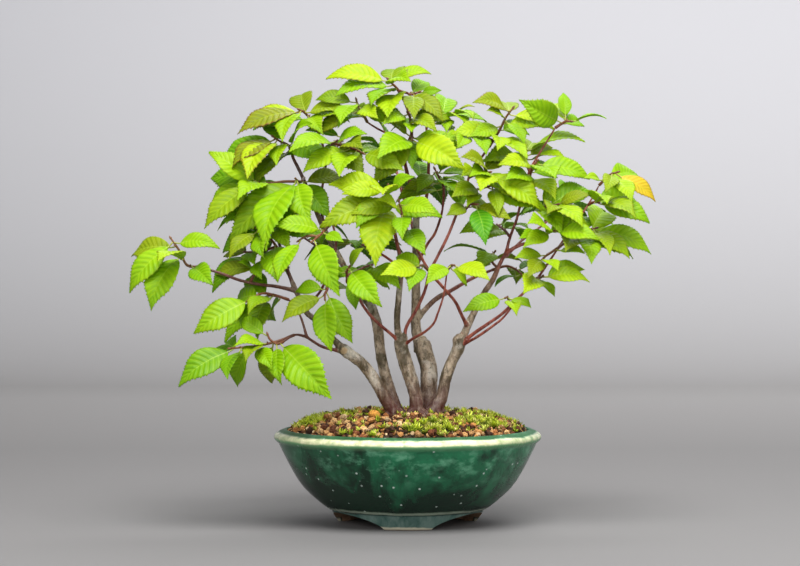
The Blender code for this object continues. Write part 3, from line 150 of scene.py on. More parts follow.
# --- leaf sprays ---------------------------------------------------------
# A spray is one or more twigs and its leaves. The first twig starts at a limb;
# any other twig starts on the first. A leaf row is:
#   twig number, place along the twig (0 to 1), heading of the leaf in plan,
#   dip below the horizontal, reach from twig to tip, and, where it is not 0,
#   roll about its length.
# Headings: 0 is +X, 90 is +Y (back), 180 is -X, 270 is the front.
SPRAYS = (
    ("leaves_left_front_high", (
        ((-49, 3, 163), (-50, -6, 161), (-51, -14, 161), (-52, -20, 162)),
        ((-50, -5, 161), (-58, -8, 161), (-66, -11, 160), (-74, -14, 160)),
    ), (
        (0, 1.0, 240, 50, 42, 15), (0, 0.55, 235, 60, 28), (0, 0.75, 195, 30, 43),
        (0, 0.25, 320, 45, 25), (1, 1.0, 205, 40, 32), (1, 0.9, 170, 30, 26), (1, 0.65, 225, 15, 27),
        (1, 0.55, 170, -5, 34), (1, 0.35, 135, 25, 27), (0, 0.9, 290, 45, 28), (1, 0.8, 185, 0, 28),
        (0, 0.4, 20, 20, 24),
    )),
    ("leaves_left_tip", (
        ((-96, -25, 121), (-102, -26, 122), (-105, -27, 128), (-109, -28, 134)),
    ), (
        (0, 1.0, 190, 48, 31), (0, 0.9, 340, 5, 23), (0, 0.6, 222, 56, 31), (0, 0.45, 250, 10, 28),
        (0, 0.2, 300, 20, 25), (0, 0.8, 150, 10, 26),
    )),
    ("leaves_left_low_inner", (
        ((-57, -35, 87), (-60, -37, 86), (-63, -38, 88), (-64, -38, 90)),
    ), (
        (0, 0.2, 325, 40, 38, 15), (0, 0.4, 280, 50, 23, 20), (0, 1.0, 150, -25, 18),
        (0, 0.6, 105, 45, 25),
    )),
    ("leaves_left_low_outer", (
        ((-52, -33, 90), (-60, -34, 87), (-70, -37, 85), (-81, -38, 84)),
    ), (
        (0, 1.0, 192, 33, 31, -12), (0, 0.8, 250, 40, 21, 20), (0, 0.65, 125, 60, 22),
        (0, 0.45, 255, 15, 22), (0, 0.9, 105, 5, 28), (0, 0.55, 300, 30, 20), (0, 0.3, 230, 20, 22),
    )),
    ("leaves_left_mid", (
        ((-55, -26, 106), (-61, -28, 108), (-67, -31, 109), (-73, -33, 106)),
        ((-61, -28, 108), (-64, -23, 108), (-66, -17, 107), (-67, -12, 106)),
    ), (
        (0, 1.0, 192, 30, 31, -12), (0, 0.35, 230, 20, 22), (0, 0.7, 120, 5, 27), (0, 0.2, 100, 30, 23),
        (1, 1.0, 200, 25, 28), (1, 0.7, 260, 35, 26), (1, 0.4, 120, 0, 24),
    )),
    ("leaves_left_bud", (
        ((-73, -22, 114), (-71, -22, 118), (-68, -20, 123), (-66, -18, 127)),
    ), (
        (0, 0.35, 225, -20, 12), (0, 1.0, 260, 30, 21, 20), (0, 0.8, 305, 15, 19),
        (0, 0.9, 95, -20, 26), (0, 0.6, 60, 10, 24), (0, 0.5, 170, 10, 22),
    )),
    ("leaves_left_shoulder", (
        ((-58, -15, 126), (-62, -20, 132), (-66, -24, 137), (-70, -26, 139)),
        ((-61, -18.75, 130.5), (-66, -15, 129), (-71, -11, 128), (-76, -7, 128)),
    ), (
        (0, 1.0, 220, 38, 22), (0, 0.85, 275, 34, 22, 20), (0, 0.3, 275, 35, 29, 10),
        (0, 0.7, 155, 20, 25), (0, 0.55, 105, -25, 27), (1, 1.0, 215, 35, 26), (1, 0.75, 300, 45, 26),
        (1, 0.5, 240, 50, 26), (1, 0.9, 120, 5, 24),
    )),
    ("leaves_left_lead_tip", (
        ((-61, -14, 135), (-62, -13, 140), (-62, -11, 144), (-63, -10, 148)),
    ), (
        (0, 1.0, 200, 10, 24), (0, 0.6, 260, 30, 24), (0, 0.8, 70, 0, 25), (0, 0.4, 130, 10, 26),
        (0, 0.9, 170, 15, 26), (0, 0.5, 340, 15, 26), (0, 0.75, 300, 40, 24),
    )),
    ("leaves_left_front_big", (
        ((-35, -27, 142), (-38, -34, 138), (-41, -40, 135), (-43.4, -44, 133)),
        ((-41, -40, 135), (-44, -39, 135.5), (-47, -38, 135), (-49.5, -38, 133.5)),
    ), (
        (0, 0.93, 303, 50, 32, 18), (1, 1.0, 235, 48, 26, 12), (0, 0.5, 310, 15, 16),
        (0, 0.35, 190, 5, 24), (0, 0.7, 80, 0, 22),
    )),
    ("leaves_left_front_hang", (
        ((-38, -27, 114), (-37, -31, 111), (-38, -34, 109), (-38, -36, 107)),
    ), (
        (0, 1.0, 285, 65, 27, 15), (0, 0.6, 335, 60, 27), (0, 0.4, 140, 5, 18), (0, 0.8, 200, 30, 24),
        (0, 0.2, 60, 10, 22),
    )),
    ("leaves_left_high_tip", (
        ((-54, 3, 172), (-56, 1, 178), (-60, -2, 180), (-63, -4, 182)),
    ), (
        (0, 1.0, 200, 30, 28), (0, 0.85, 240, 35, 32), (0, 0.7, 265, 20, 22), (0, 0.4, 300, -25, 24),
        (0, 0.6, 115, -35, 25), (0, 0.9, 170, 20, 28), (0, 0.55, 330, 20, 26), (0, 0.3, 210, 40, 26),
    )),
    ("leaves_upper_left_inner", (
        ((-39, 11, 169), (-38, 2, 175), (-35, -6, 179), (-33, -12, 180)),
        ((-38.3, 5, 173), (-34, 14, 178), (-32, 24, 181), (-30, 32, 184)),
        ((-35, -6, 179), (-30, -10, 177.5), (-25, -14, 176), (-21, -17, 174)),
    ), (
        (0, 1.0, 220, 10, 28), (0, 0.6, 295, 20, 28), (0, 0.85, 310, -10, 23), (1, 1.0, 200, -10, 20),
        (1, 0.8, 110, 20, 24), (1, 0.6, 30, 0, 22), (2, 1.0, 325, 20, 26), (2, 0.8, 250, 28, 26),
        (2, 0.6, 200, 15, 26), (2, 0.9, 60, 0, 22), (2, 0.4, 290, 35, 24), (0, 0.4, 180, 5, 26),
    )),
    ("leaves_upper_left", (
        ((-45, 7, 189), (-47, 4, 192), (-49, 2, 194), (-51, 0, 195)),
    ), (
        (0, 1.0, 200, 20, 33), (0, 0.8, 175, 10, 27), (0, 0.5, 285, 25, 22), (0, 0.2, 290, -15, 24),
        (0, 0.6, 95, -25, 25), (0, 0.4, 20, 5, 22), (0, 0.9, 230, 35, 28), (0, 0.7, 330, 20, 24),
        (0, 0.3, 170, 10, 28),
    )),
    ("leaves_high_left_tip", (
        ((-19, -2, 189), (-21, -4, 193), (-23, -5, 196), (-24, -5, 199)),
    ), (
        (0, 1.0, 170, 5, 20), (0, 0.7, 295, 15, 22), (0, 0.4, 230, 20, 19), (0, 0.2, 115, -5, 26),
        (0, 0.9, 250, 25, 24), (0, 0.5, 340, 15, 24), (0, 0.6, 190, 20, 24),
    )),
    ("leaves_crown", (
        ((-2, 2, 200), (-5, 0, 205), (-7, -1, 207), (-9, -2, 209)),
        ((-4.4, 0.4, 204), (-1, -2, 203), (2, -3, 202), (5, -4, 203)),
    ), (
        (0, 1.0, 184, -4, 30), (0, 0.85, 290, 0, 25), (0, 0.7, 205, 10, 29), (0, 0.5, 240, 20, 26),
        (0, 0.3, 250, 25, 30), (0, 0.9, 80, -15, 25), (1, 1.0, 345, -5, 12, 30), (1, 0.8, 270, 20, 25),
        (1, 0.6, 60, -20, 19), (1, 0.45, 330, 15, 24), (0, 0.95, 5, -12, 20),
    )),
    ("leaves_centre_high", (
        ((2, 5, 185), (2, -4, 182), (2, -12, 181), (2, -18, 180)),
        ((2, -3, 182.3), (1.5, -5, 187), (1, -7, 191), (0, -10, 193)),
    ), (
        (0, 1.0, 325, 25, 32, 12), (0, 0.75, 250, 20, 29), (0, 0.4, 215, -30, 16), (0, 0.5, 305, 5, 19),
        (1, 1.0, 225, 15, 20), (1, 0.7, 310, 15, 24), (1, 0.45, 245, -20, 22), (0, 0.62, 350, 10, 24),
        (1, 0.85, 20, 5, 22), (0, 0.9, 200, 15, 28), (0, 0.3, 270, 40, 24),
    )),
    ("leaves_right_stem_tip", (
        ((9, 18, 188), (14, 13, 191), (18, 9, 193), (22, 6, 194)),
    ), (
        (0, 1.0, 335, -15, 12), (0, 0.7, 290, 15, 23), (0, 0.4, 250, -10, 18), (0, 0.25, 300, 20, 18),
        (0, 0.6, 85, -20, 27), (0, 0.85, 30, 10, 22), (0, 0.5, 270, 30, 22), (0, 0.95, 300, 10, 20),
        (0, 0.3, 210, 10, 22),
    )),
    ("leaves_right_high", (
        ((38, -7, 177), (43, -8, 185), (46, -9, 191), (49, -10, 195)),
        ((40, -7.4, 180.2), (35, -9, 182), (31, -10, 183), (27, -11, 184)),
    ), (
        (0, 0.55, 220, 15, 21), (0, 0.7, 310, 40, 18), (0, 0.45, 60, 0, 26), (0, 0.9, 100, -10, 25),
        (0, 0.75, 235, -10, 16), (1, 1.0, 210, 15, 14), (1, 0.75, 290, 30, 20), (1, 0.5, 110, -30, 21),
        (0, 0.3, 270, 20, 22), (1, 0.9, 250, 25, 18), (0, 0.85, 350, 15, 20), (0, 0.2, 300, 10, 26),
        (0, 0.35, 200, 20, 24), (0, 0.62, 340, 5, 24), (0, 0.95, 200, 0, 22),
    )),
    ("leaves_right_top", (
        ((69, -9, 186), (72, -9, 188), (74, -10, 189), (76, -11, 189)),
    ), (
        (0, 0.45, 200, -22, 27, -50), (0, 0.7, 95, -62, 16), (0, 1.0, 340, -5, 18, -35),
        (0, 0.8, 115, -25, 22), (0, 0.45, 60, 0, 20),
    )),
    ("leaves_right_wing_back", (
        ((57, -8, 166), (56, 0, 170), (56, 6, 174), (56, 10, 177)),
    ), (
        (0, 0.4, 220, 0, 28), (0, 1.0, 195, -15, 16), (0, 0.7, 40, -15, 18), (0, 0.85, 80, -10, 25),
        (0, 0.55, 300, 0, 22), (0, 0.95, 345, 12, 30),
    )),
    ("leaves_right_wing", (
        ((55, -8, 158), (57, -12, 163), (58, -16, 167), (60, -18, 170)),
    ), (
        (0, 1.0, 10, 15, 27), (0, 0.7, 290, 10, 27), (0, 0.4, 240, 5, 25), (0, 0.55, 60, 5, 24),
        (0, 0.85, 240, 20, 24), (0, 0.3, 300, 25, 24),
    )),
    ("leaves_far_right_tip", (
        ((89, -16, 159), (92, -17, 162), (94, -18, 164), (97, -19, 165)),
    ), (
        (0, 1.0, 355, 35, 23), (0, 0.8, 255, 25, 20), (0, 0.5, 50, 0, 27), (0, 0.3, 215, -5, 12),
        (0, 0.65, 300, 25, 22),
    )),
    ("leaves_far_right_lower", (
        ((84, -17, 150), (86, -19, 151), (87, -21, 151), (88, -23, 151)),
    ), (
        (0, 1.0, 350, 20, 26, 10), (0, 0.5, 295, 10, 27), (0, 0.75, 50, -5, 31), (0, 0.9, 310, 15, 26),
    )),
    ("leaves_right_bright", (
        ((53, -8, 151), (58, -14, 150), (63, -20, 149), (69, -24, 150)),
    ), (
        (0, 1.0, 340, -15, 18), (0, 0.6, 60, -30, 19), (0, 0.4, 300, 20, 27), (0, 0.8, 305, 10, 27),
        (0, 0.9, 260, 30, 20), (0, 0.5, 350, 5, 28), (0, 0.7, 20, 5, 26),
    )),
    ("leaves_right_centre_front", (
        ((29, -6, 163), (33, -13, 165), (35, -19, 165), (38, -24, 165)),
    ), (
        (0, 1.0, 345, 15, 34), (0, 0.75, 290, 20, 26), (0, 0.45, 255, -5, 22), (0, 0.6, 50, -25, 18),
        (0, 0.85, 240, 15, 22), (0, 0.95, 200, 15, 24), (0, 0.3, 320, 25, 24),
    )),
    ("leaves_right_centre_fold", (
        ((27, -7, 155), (32, -13, 157), (36, -18, 158), (40, -22, 159)),
    ), (
        (0, 1.0, 280, 45, 20), (0, 0.75, 355, 20, 30), (0, 0.4, 260, 35, 18), (0, 0.55, 230, 10, 22),
        (0, 0.9, 320, 30, 20),
    )),
    ("leaves_centre_hang", (
        ((23.5, -9, 146), (27, -16, 148), (29, -23, 150), (32, -29, 150)),
    ), (
        (0, 1.0, 285, 50, 24, 15), (0, 0.6, 230, 15, 17), (0, 0.35, 120, -30, 18),
        (0, 0.8, 330, 20, 20), (0, 0.5, 60, 0, 22),
    )),
    ("leaves_right_inner", (
        ((48, -9, 135), (46, 2, 138), (44, 12, 140), (43, 20, 141)),
    ), (
        (0, 0.35, 250, 10, 23), (0, 1.0, 325, -20, 16), (0, 0.7, 115, -5, 21), (0, 0.85, 75, 15, 25),
        (0, 0.5, 200, 5, 22), (0, 0.6, 300, 10, 20),
    )),
    ("leaves_right_mass_front", (
        ((60, -12, 133), (63, -20, 135), (65, -27, 137), (68, -33, 138)),
    ), (
        (0, 1.0, 315, 10, 23, 10), (0, 0.7, 245, -10, 25), (0, 0.5, 350, -30, 16), (0, 0.3, 240, 0, 23),
        (0, 0.85, 230, 20, 20), (0, 0.9, 20, 10, 22),
    )),
    ("leaves_right_mass", (
        ((70, -19, 130), (75, -20, 134), (81, -20, 137), (87, -19, 139)),
        ((73, -19.6, 132.4), (68, -25, 129), (64, -29, 126.5), (61, -33, 124)),
    ), (
        (0, 1.0, 295, 35, 20), (0, 0.4, 15, 20, 30), (0, 0.65, 95, -20, 22), (0, 0.85, 70, -5, 29),
        (1, 1.0, 290, 15, 19), (1, 0.7, 205, 5, 17), (1, 0.4, 320, 5, 17), (0, 0.55, 280, 15, 24),
        (0, 0.75, 330, 20, 24), (1, 0.85, 260, 25, 20), (0, 0.95, 350, 22, 30), (0, 0.25, 250, 15, 22),
    )),
    ("leaves_right_low_tip", (
        ((59, -17, 114), (60, -22, 116), (61, -27, 116), (62, -31, 117)),
    ), (
        (0, 1.0, 350, 5, 22), (0, 0.8, 10, -10, 21), (0, 0.55, 250, 15, 25), (0, 0.35, 335, 45, 12),
    )),
    ("leaves_right_low_pair", (
        ((48, -19, 102), (47, -23, 105), (46, -27, 107), (45, -30, 107)),
    ), (
        (0, 1.0, 200, 15, 22), (0, 0.55, 280, 20, 19, 10), (0, 0.75, 320, 25, 16),
    )),
    ("leaves_right_back", (
        ((41, 34, 119), (48, 34, 121), (53, 30, 119), (57, 25, 115)),
        ((44, 34, 120), (41, 31, 123), (41, 26, 126), (42, 22, 128)),
    ), (
        (0, 1.0, 330, 20, 15), (0, 0.8, 210, 20, 16), (0, 0.6, 45, -5, 19), (0, 0.45, 80, 20, 23),
        (1, 1.0, 250, 20, 23), (1, 0.85, 195, -5, 25), (1, 0.6, 320, 5, 18), (1, 0.45, 120, 20, 20),
    )),
    ("leaves_centre_bright", (
        ((18, -31, 119), (19, -34, 121), (20, -37, 122), (21, -40, 122)),
    ), (
        (0, 1.0, 315, 15, 23), (0, 0.65, 230, 25, 20), (0, 0.45, 60, 30, 18),
    )),
    ("leaves_centre_left_bright", (
        ((10, -25, 119), (8, -31, 121), (7, -36, 122), (6, -40, 122)),
    ), (
        (0, 1.0, 215, 10, 23), (0, 0.65, 250, 30, 22), (0, 0.4, 140, -15, 18),
    )),
    ("leaves_cross_tip", (
        ((1, -29, 135), (-2, -31, 142), (-3, -33, 147), (-4, -34, 151)),
    ), (
        (0, 0.95, 315, 10, 23), (0, 0.65, 270, 30, 23, 10), (0, 0.8, 230, -15, 17),
        (0, 0.5, 85, -20, 18), (0, 0.9, 190, 10, 24), (0, 0.3, 300, 35, 22),
    )),
    ("leaves_centre_left_front", (
        ((-9, -20, 145), (-9, -25, 150), (-9, -29, 154), (-9, -31, 158)),
    ), (
        (0, 0.4, 255, 40, 36), (0, 0.55, 205, 20, 35), (0, 0.75, 265, 10, 29), (0, 0.9, 195, 5, 22),
        (0, 1.0, 180, 5, 29), (0, 0.8, 315, -25, 18), (0, 0.65, 230, 35, 24), (0, 0.3, 330, 30, 26),
    )),
    ("leaves_centre_inner", (
        ((17, -3, 154), (17, 2, 159), (15, 4, 163), (13, 5, 167)),
    ), (
        (0, 1.0, 230, 35, 18), (0, 0.7, 310, 10, 19), (0, 0.4, 95, 0, 27), (0, 0.85, 300, -25, 17),
        (0, 0.55, 200, 10, 20), (0, 0.9, 10, 5, 20), (0, 0.6, 300, 20, 24), (0, 0.3, 180, 15, 24),
    )),
    ("leaves_middle_left_front", (
        ((-28, -27, 114), (-28, -31, 117), (-28, -34, 119), (-27, -36, 121)),
        ((-28, -31, 117), (-24, -26, 119), (-20, -20, 121), (-17, -15, 122)),
    ), (
        (0, 0.95, 310, 35, 29), (0, 0.4, 355, 75, 16), (0, 0.7, 130, 5, 17), (0, 0.85, 305, -40, 16),
        (1, 1.0, 310, 25, 24), (1, 0.7, 215, 30, 24), (1, 0.5, 20, 15, 22), (1, 0.85, 90, 10, 24),
    )),
)

# sprays on the far side: one twig each, their leaves fan out by BACK_FAN
BACK_SPRAYS = (
    ("leaves_back_left", ((-64, 38, 141), (-68, 46, 145), (-72, 54, 148))),
    ("leaves_back_up", ((-6, 52, 171), (-8, 60, 177), (-9, 66, 182))),
    ("leaves_back_mid", ((-3, 42, 158), (4, 54, 161), (10, 64, 164))),
    ("leaves_back_low", ((-19, 54, 130), (-24, 62, 132), (-30, 70, 133))),
    ("leaves_back_right", ((72, 38, 146), (77, 48, 149), (81, 58, 151))),
)
# along the twig, heading from the twig's own, dip, reach
BACK_FAN = (
    (1.0, 5, 30, 25), (0.92, 55, 20, 24), (0.84, -60, 20, 24), (0.7, 105, 10, 25),
    (0.6, -110, 10, 25), (0.45, 150, 5, 24), (0.35, -155, 0, 23), (0.75, 30, -30, 22),
)


# --- leaf placing --------------------------------------------------------
PETIOLE_LENGTH = 3.4
LEAF_WIDTH = 0.53
LEAF_ARCH = 0.11
TWIG_RADIUS = 0.68
TWIG_TIP_RADIUS = 0.46
# small changes that may have moved a leaf away from a neighbour
HEADING_STEPS = (0, 8, -8, 16, -16, 26, -26, 38, -38)
DIP_STEPS = (0, 10, -10, 20, -20, 32, -32)
REACH_STEPS = (1.0, 0.9, 0.8, 0.7)
# the last place along a twig where a leaf can stand
LAST_LEAF_SHARE = 0.93
# how far a twig's start may have been moved along it, step by step
START_STEP = 0.25
# how close in metres a vertex of the node has to be to count as found
FOUND_WITHIN = 0.00003


# --- fine leaf -----------------------------------------------------------
VEIN_PAIRS = 11
ROWS_PER_VEIN = 4
BLADE_COLUMNS = (-1.0, -0.9, -0.6, -0.28, 0.0, 0.28, 0.6, 0.9, 1.0)
# tooth outward and forward, as shares of the blade's length, for the rows between two veins
TOOTH_OUT = (0.019, -0.005, 0.01, -0.006)
TOOTH_FORWARD = (0.02, 0.0, 0.01, -0.004)

# leaf colours, linear red, green and blue
DEEP_GREEN = (0.076, 0.215, 0.001)
MID_GREEN = (0.195, 0.43, 0.001)
LIME_GREEN = (0.335, 0.59, 0.001)
YELLOW_GREEN = (0.53, 0.68, 0.006)
OLIVE_GREEN = (0.3, 0.33, 0.006)
BLUE_GREEN = (0.12, 0.42, 0.004)
AUTUMN_YELLOW = (0.78, 0.54, 0.02)

# leaves whose colour stands out: (spray, row) to colour, share of red in the margin
LEAF_COLOURS = {
    ("leaves_far_right_tip", 0): (AUTUMN_YELLOW, 0.5),
    ("leaves_left_front_high", 0): (LIME_GREEN, 0.0),
    ("leaves_left_front_big", 0): (LIME_GREEN, 0.1),
    ("leaves_left_front_big", 1): (LIME_GREEN, 0.4),
    ("leaves_left_front_hang", 0): (LIME_GREEN, 0.0),
    ("leaves_left_front_hang", 1): (LIME_GREEN, 0.3),
    ("leaves_left_low_inner", 0): (LIME_GREEN, 0.0),
    ("leaves_left_low_inner", 2): (LIME_GREEN, 0.1),
    ("leaves_centre_left_front", 0): (YELLOW_GREEN, 0.0),
    ("leaves_right_top", 0): (LIME_GREEN, 0.4),
    ("leaves_right_top", 1): (LIME_GREEN, 0.2),
    ("leaves_right_top", 2): (LIME_GREEN, 0.1),
    ("leaves_centre_high", 0): (YELLOW_GREEN, 0.0),
    ("leaves_centre_hang", 0): (BLUE_GREEN, 0.0),
    ("leaves_centre_bright", 0): (YELLOW_GREEN, 0.1),
    ("leaves_centre_left_bright", 0): (YELLOW_GREEN, 0.1),
    ("leaves_cross_tip", 2): (YELLOW_GREEN, 0.1),
    ("leaves_centre_left_front", 4): (YELLOW_GREEN, 0.0),
    ("leaves_centre_left_front", 3): (YELLOW_GREEN, 0.0),
    ("leaves_middle_left_front", 0): (LIME_GREEN, 0.1),
    ("leaves_crown", 0): (YELLOW_GREEN, 0.5),
    ("leaves_crown", 2): (LIME_GREEN, 0.4),
    ("leaves_upper_left", 0): (OLIVE_GREEN, 0.9),
    ("leaves_upper_left", 1): (YELLOW_GREEN, 0.8),
    ("leaves_left_high_tip", 0): (OLIVE_GREEN, 0.8),
    ("leaves_left_high_tip", 1): (YELLOW_GREEN, 0.7),
    ("leaves_left_high_outer", 0): (OLIVE_GREEN, 0.8),
}


def place(point):
    """A design point in millimetres, in the part's frame in metres."""
    return (Vector(point) + Vector((MODEL_SHIFT[0], MODEL_SHIFT[1], 0.0))) * MM


def deselect():
    """Leave nothing selected, so that an operator acts on the new shape alone."""
    if bpy.context.object is not None and bpy.context.object.mode != "OBJECT":
        bpy.ops.object.mode_set(mode="OBJECT")
    bpy.ops.object.select_all(action="DESELECT")


def choose(*pieces):
    """Select the pieces, the last one active."""
    deselect()
    for piece in pieces:
        piece.select_set(True)
    bpy.context.view_layer.objects.active = pieces[-1]


def new_piece(name, points, faces, material, smooth=True):
    """A mesh object at the origin from points that are already in metres."""
    mesh = bpy.data.meshes.new(name)
    mesh.from_pydata([tuple(point) for point in points], [], faces)
    mesh.update()
    piece = bpy.data.objects.new(name, mesh)
    bpy.context.scene.collection.objects.link(piece)
    mesh.materials.append(material)
    if smooth:
        mesh.shade_smooth()
    return piece


def resurface(piece, material):
    """Give a piece one material."""
    piece.data.materials.clear()
    piece.data.materials.append(material)


def vertex_finder(points):
    """A search tree over points in metres."""
    lookup = kdtree.KDTree(len(points))
    for index, point in enumerate(points):
        lookup.insert(point, index)
    lookup.balance()
    return lookup


def clamp(value):
    """The value held between 0 and 1."""
    return min(max(value, 0.0), 1.0)


def apply_modifier(piece, kind, **settings):
    """Add a modifier, set it and apply it."""
    choose(piece)
    bpy.ops.object.modifier_add(type=kind)
    modifier = piece.modifiers[-1]
    for key, value in settings.items():
        setattr(modifier, key, value)
    bpy.ops.object.modifier_apply(modifier=modifier.name)


def join_pieces(pieces, name):
    """One object of several; the first keeps its place."""
    choose(*reversed(pieces))
    if len(pieces) > 1:
        bpy.ops.object.join()
    pieces[0].name = name
    return pieces[0]


def write_colours(mesh, name, colours):
    """A colour for every vertex, as an attribute that a material reads."""
    layer = mesh.attributes.new(name, "FLOAT_COLOR", "POINT")
    layer.data.foreach_set("color", np.asarray(colours, dtype=np.float32).ravel())


def write_values(mesh, name, values):
    """A number for every vertex, as an attribute that a material reads."""
    layer = mesh.attributes.new(name, "FLOAT", "POINT")
    layer.data.foreach_set("value", np.asarray(values, dtype=np.float32))


def mix_colour(low, high, share):
    """A colour between two others."""
    share = clamp(share)
    return tuple(a + (b - a) * share for a, b in zip(low, high))


def declare(piece, nodes=()):
    """Attach the piece to the body it rides on and hide the nodes it stands for."""
    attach(piece, BODY)
    if nodes:
        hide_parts(*nodes)


def tube(points, radii, sides):
    """A closed tapered tube along a polyline, as triangles."""
    centres = [Vector(point) for point in points]
    count = len(centres)
    rings = []
    side = Vector((1.0, 0.0, 0.0))
    for index, centre in enumerate(centres):
        before = centres[max(index - 1, 0)]
        after = centres[min(index + 1, count - 1)]
        along = (after - before).normalized()
        if index == 0 and abs(side.dot(along)) > 0.9:
            side = Vector((0.0, 1.0, 0.0))
        side = (side - along * side.dot(along)).normalized()
        other = along.cross(side)
        for corner in range(sides):
            angle = 2.0 * math.pi * corner / sides
            rings.append(centre + (side * math.cos(angle) + other * math.sin(angle)) * radii[index])
    faces = []
    for index in range(count - 1):
        for corner in range(sides):
            after = (corner + 1) % sides
            low = index * sides
            high = low + sides
            faces.append((low + corner, low + after, high + after, high + corner))
    faces.append(tuple(range(sides - 1, -1, -1)))
    faces.append(tuple((count - 1) * sides + corner for corner in range(sides)))
    return rings, triangles(faces)


def point_on(route, share):
    """The point a share of the way along a route."""
    centres = [Vector(point) for point in route]
    lengths = [(b - a).length for a, b in zip(centres, centres[1:])]
    left = share * sum(lengths)
    for start, end, length in zip(centres, centres[1:], lengths):
        if left <= length or end is centres[-1]:
            return start + (end - start) * min(left / length, 1.0)
        left -= length


def leaf_axes(base, heading, dip, roll):
    """The direction a leaf points, the way its upper face looks, and its side."""
    turn = math.radians(heading)
    down = math.radians(dip)
    along = Vector((math.cos(turn) * math.cos(down), math.sin(turn) * math.cos(down), -math.sin(down)))
    outward = Vector((base.x, base.y, 0.0))
    if outward.length > 1.0:
        outward.normalize()
    front = clamp((30.0 - base.y) / 40.0)
    look = Vector((0.0, -front, 0.9)) + outward * 0.4
    up = (look - along * look.dot(along)).normalized()
    up.rotate(Quaternion(along, math.radians(roll)))
    return along, up, along.cross(up)


def leaf_variants():
    """The changes to try, from the smallest to the largest."""
    changes = []
    for turn in HEADING_STEPS:
        for drop in DIP_STEPS:
            for scale in REACH_STEPS:
                cost = abs(turn) / 10.0 + abs(drop) / 12.0 + (1.0 - scale) * 9.0
                changes.append((cost, turn, drop, scale))
    changes.sort(key=lambda change: change[0])
    return [change[1:] for change in changes]


def twig_radii(points):
    last = len(points) - 1
    return [TWIG_RADIUS + (TWIG_TIP_RADIUS - TWIG_RADIUS) * index / last for index in range(last + 1)]


def spray_plan():
    """Every spray: name, twigs, leaf rows as (twig, along, heading, dip, reach, roll)."""
    plan = []
    for name, twigs, rows in SPRAYS:
        plan.append((name, twigs, [row if len(row) == 6 else (*row, 0) for row in rows]))
    for name, twig in BACK_SPRAYS:
        course = Vector(twig[-1]) - Vector(twig[0])
        heading = math.degrees(math.atan2(course.y, course.x))
        rows = [(0, along, heading + turn, dip, reach, 0) for along, turn, dip, reach in BACK_FAN]
        plan.append((name, (twig,), rows))
    return plan


def triangles(faces):
    """Split quads and fans so that every face is flat."""
    result = []
    for face in faces:
        for index in range(1, len(face) - 1):
            result.append((face[0], face[index], face[index + 1]))
    return result


def soil_height(radius):
    """Height of the soil's surface at a distance from the pot's axis."""
    if radius <= SOIL_TOP[0][0]:
        return SOIL_TOP[0][1]
    for (near, high), (far, low) in zip(SOIL_TOP, SOIL_TOP[1:]):
        if radius <= far:
            return high + (low - high) * (radius - near) / (far - near)
    return SOIL_TOP[-1][1]


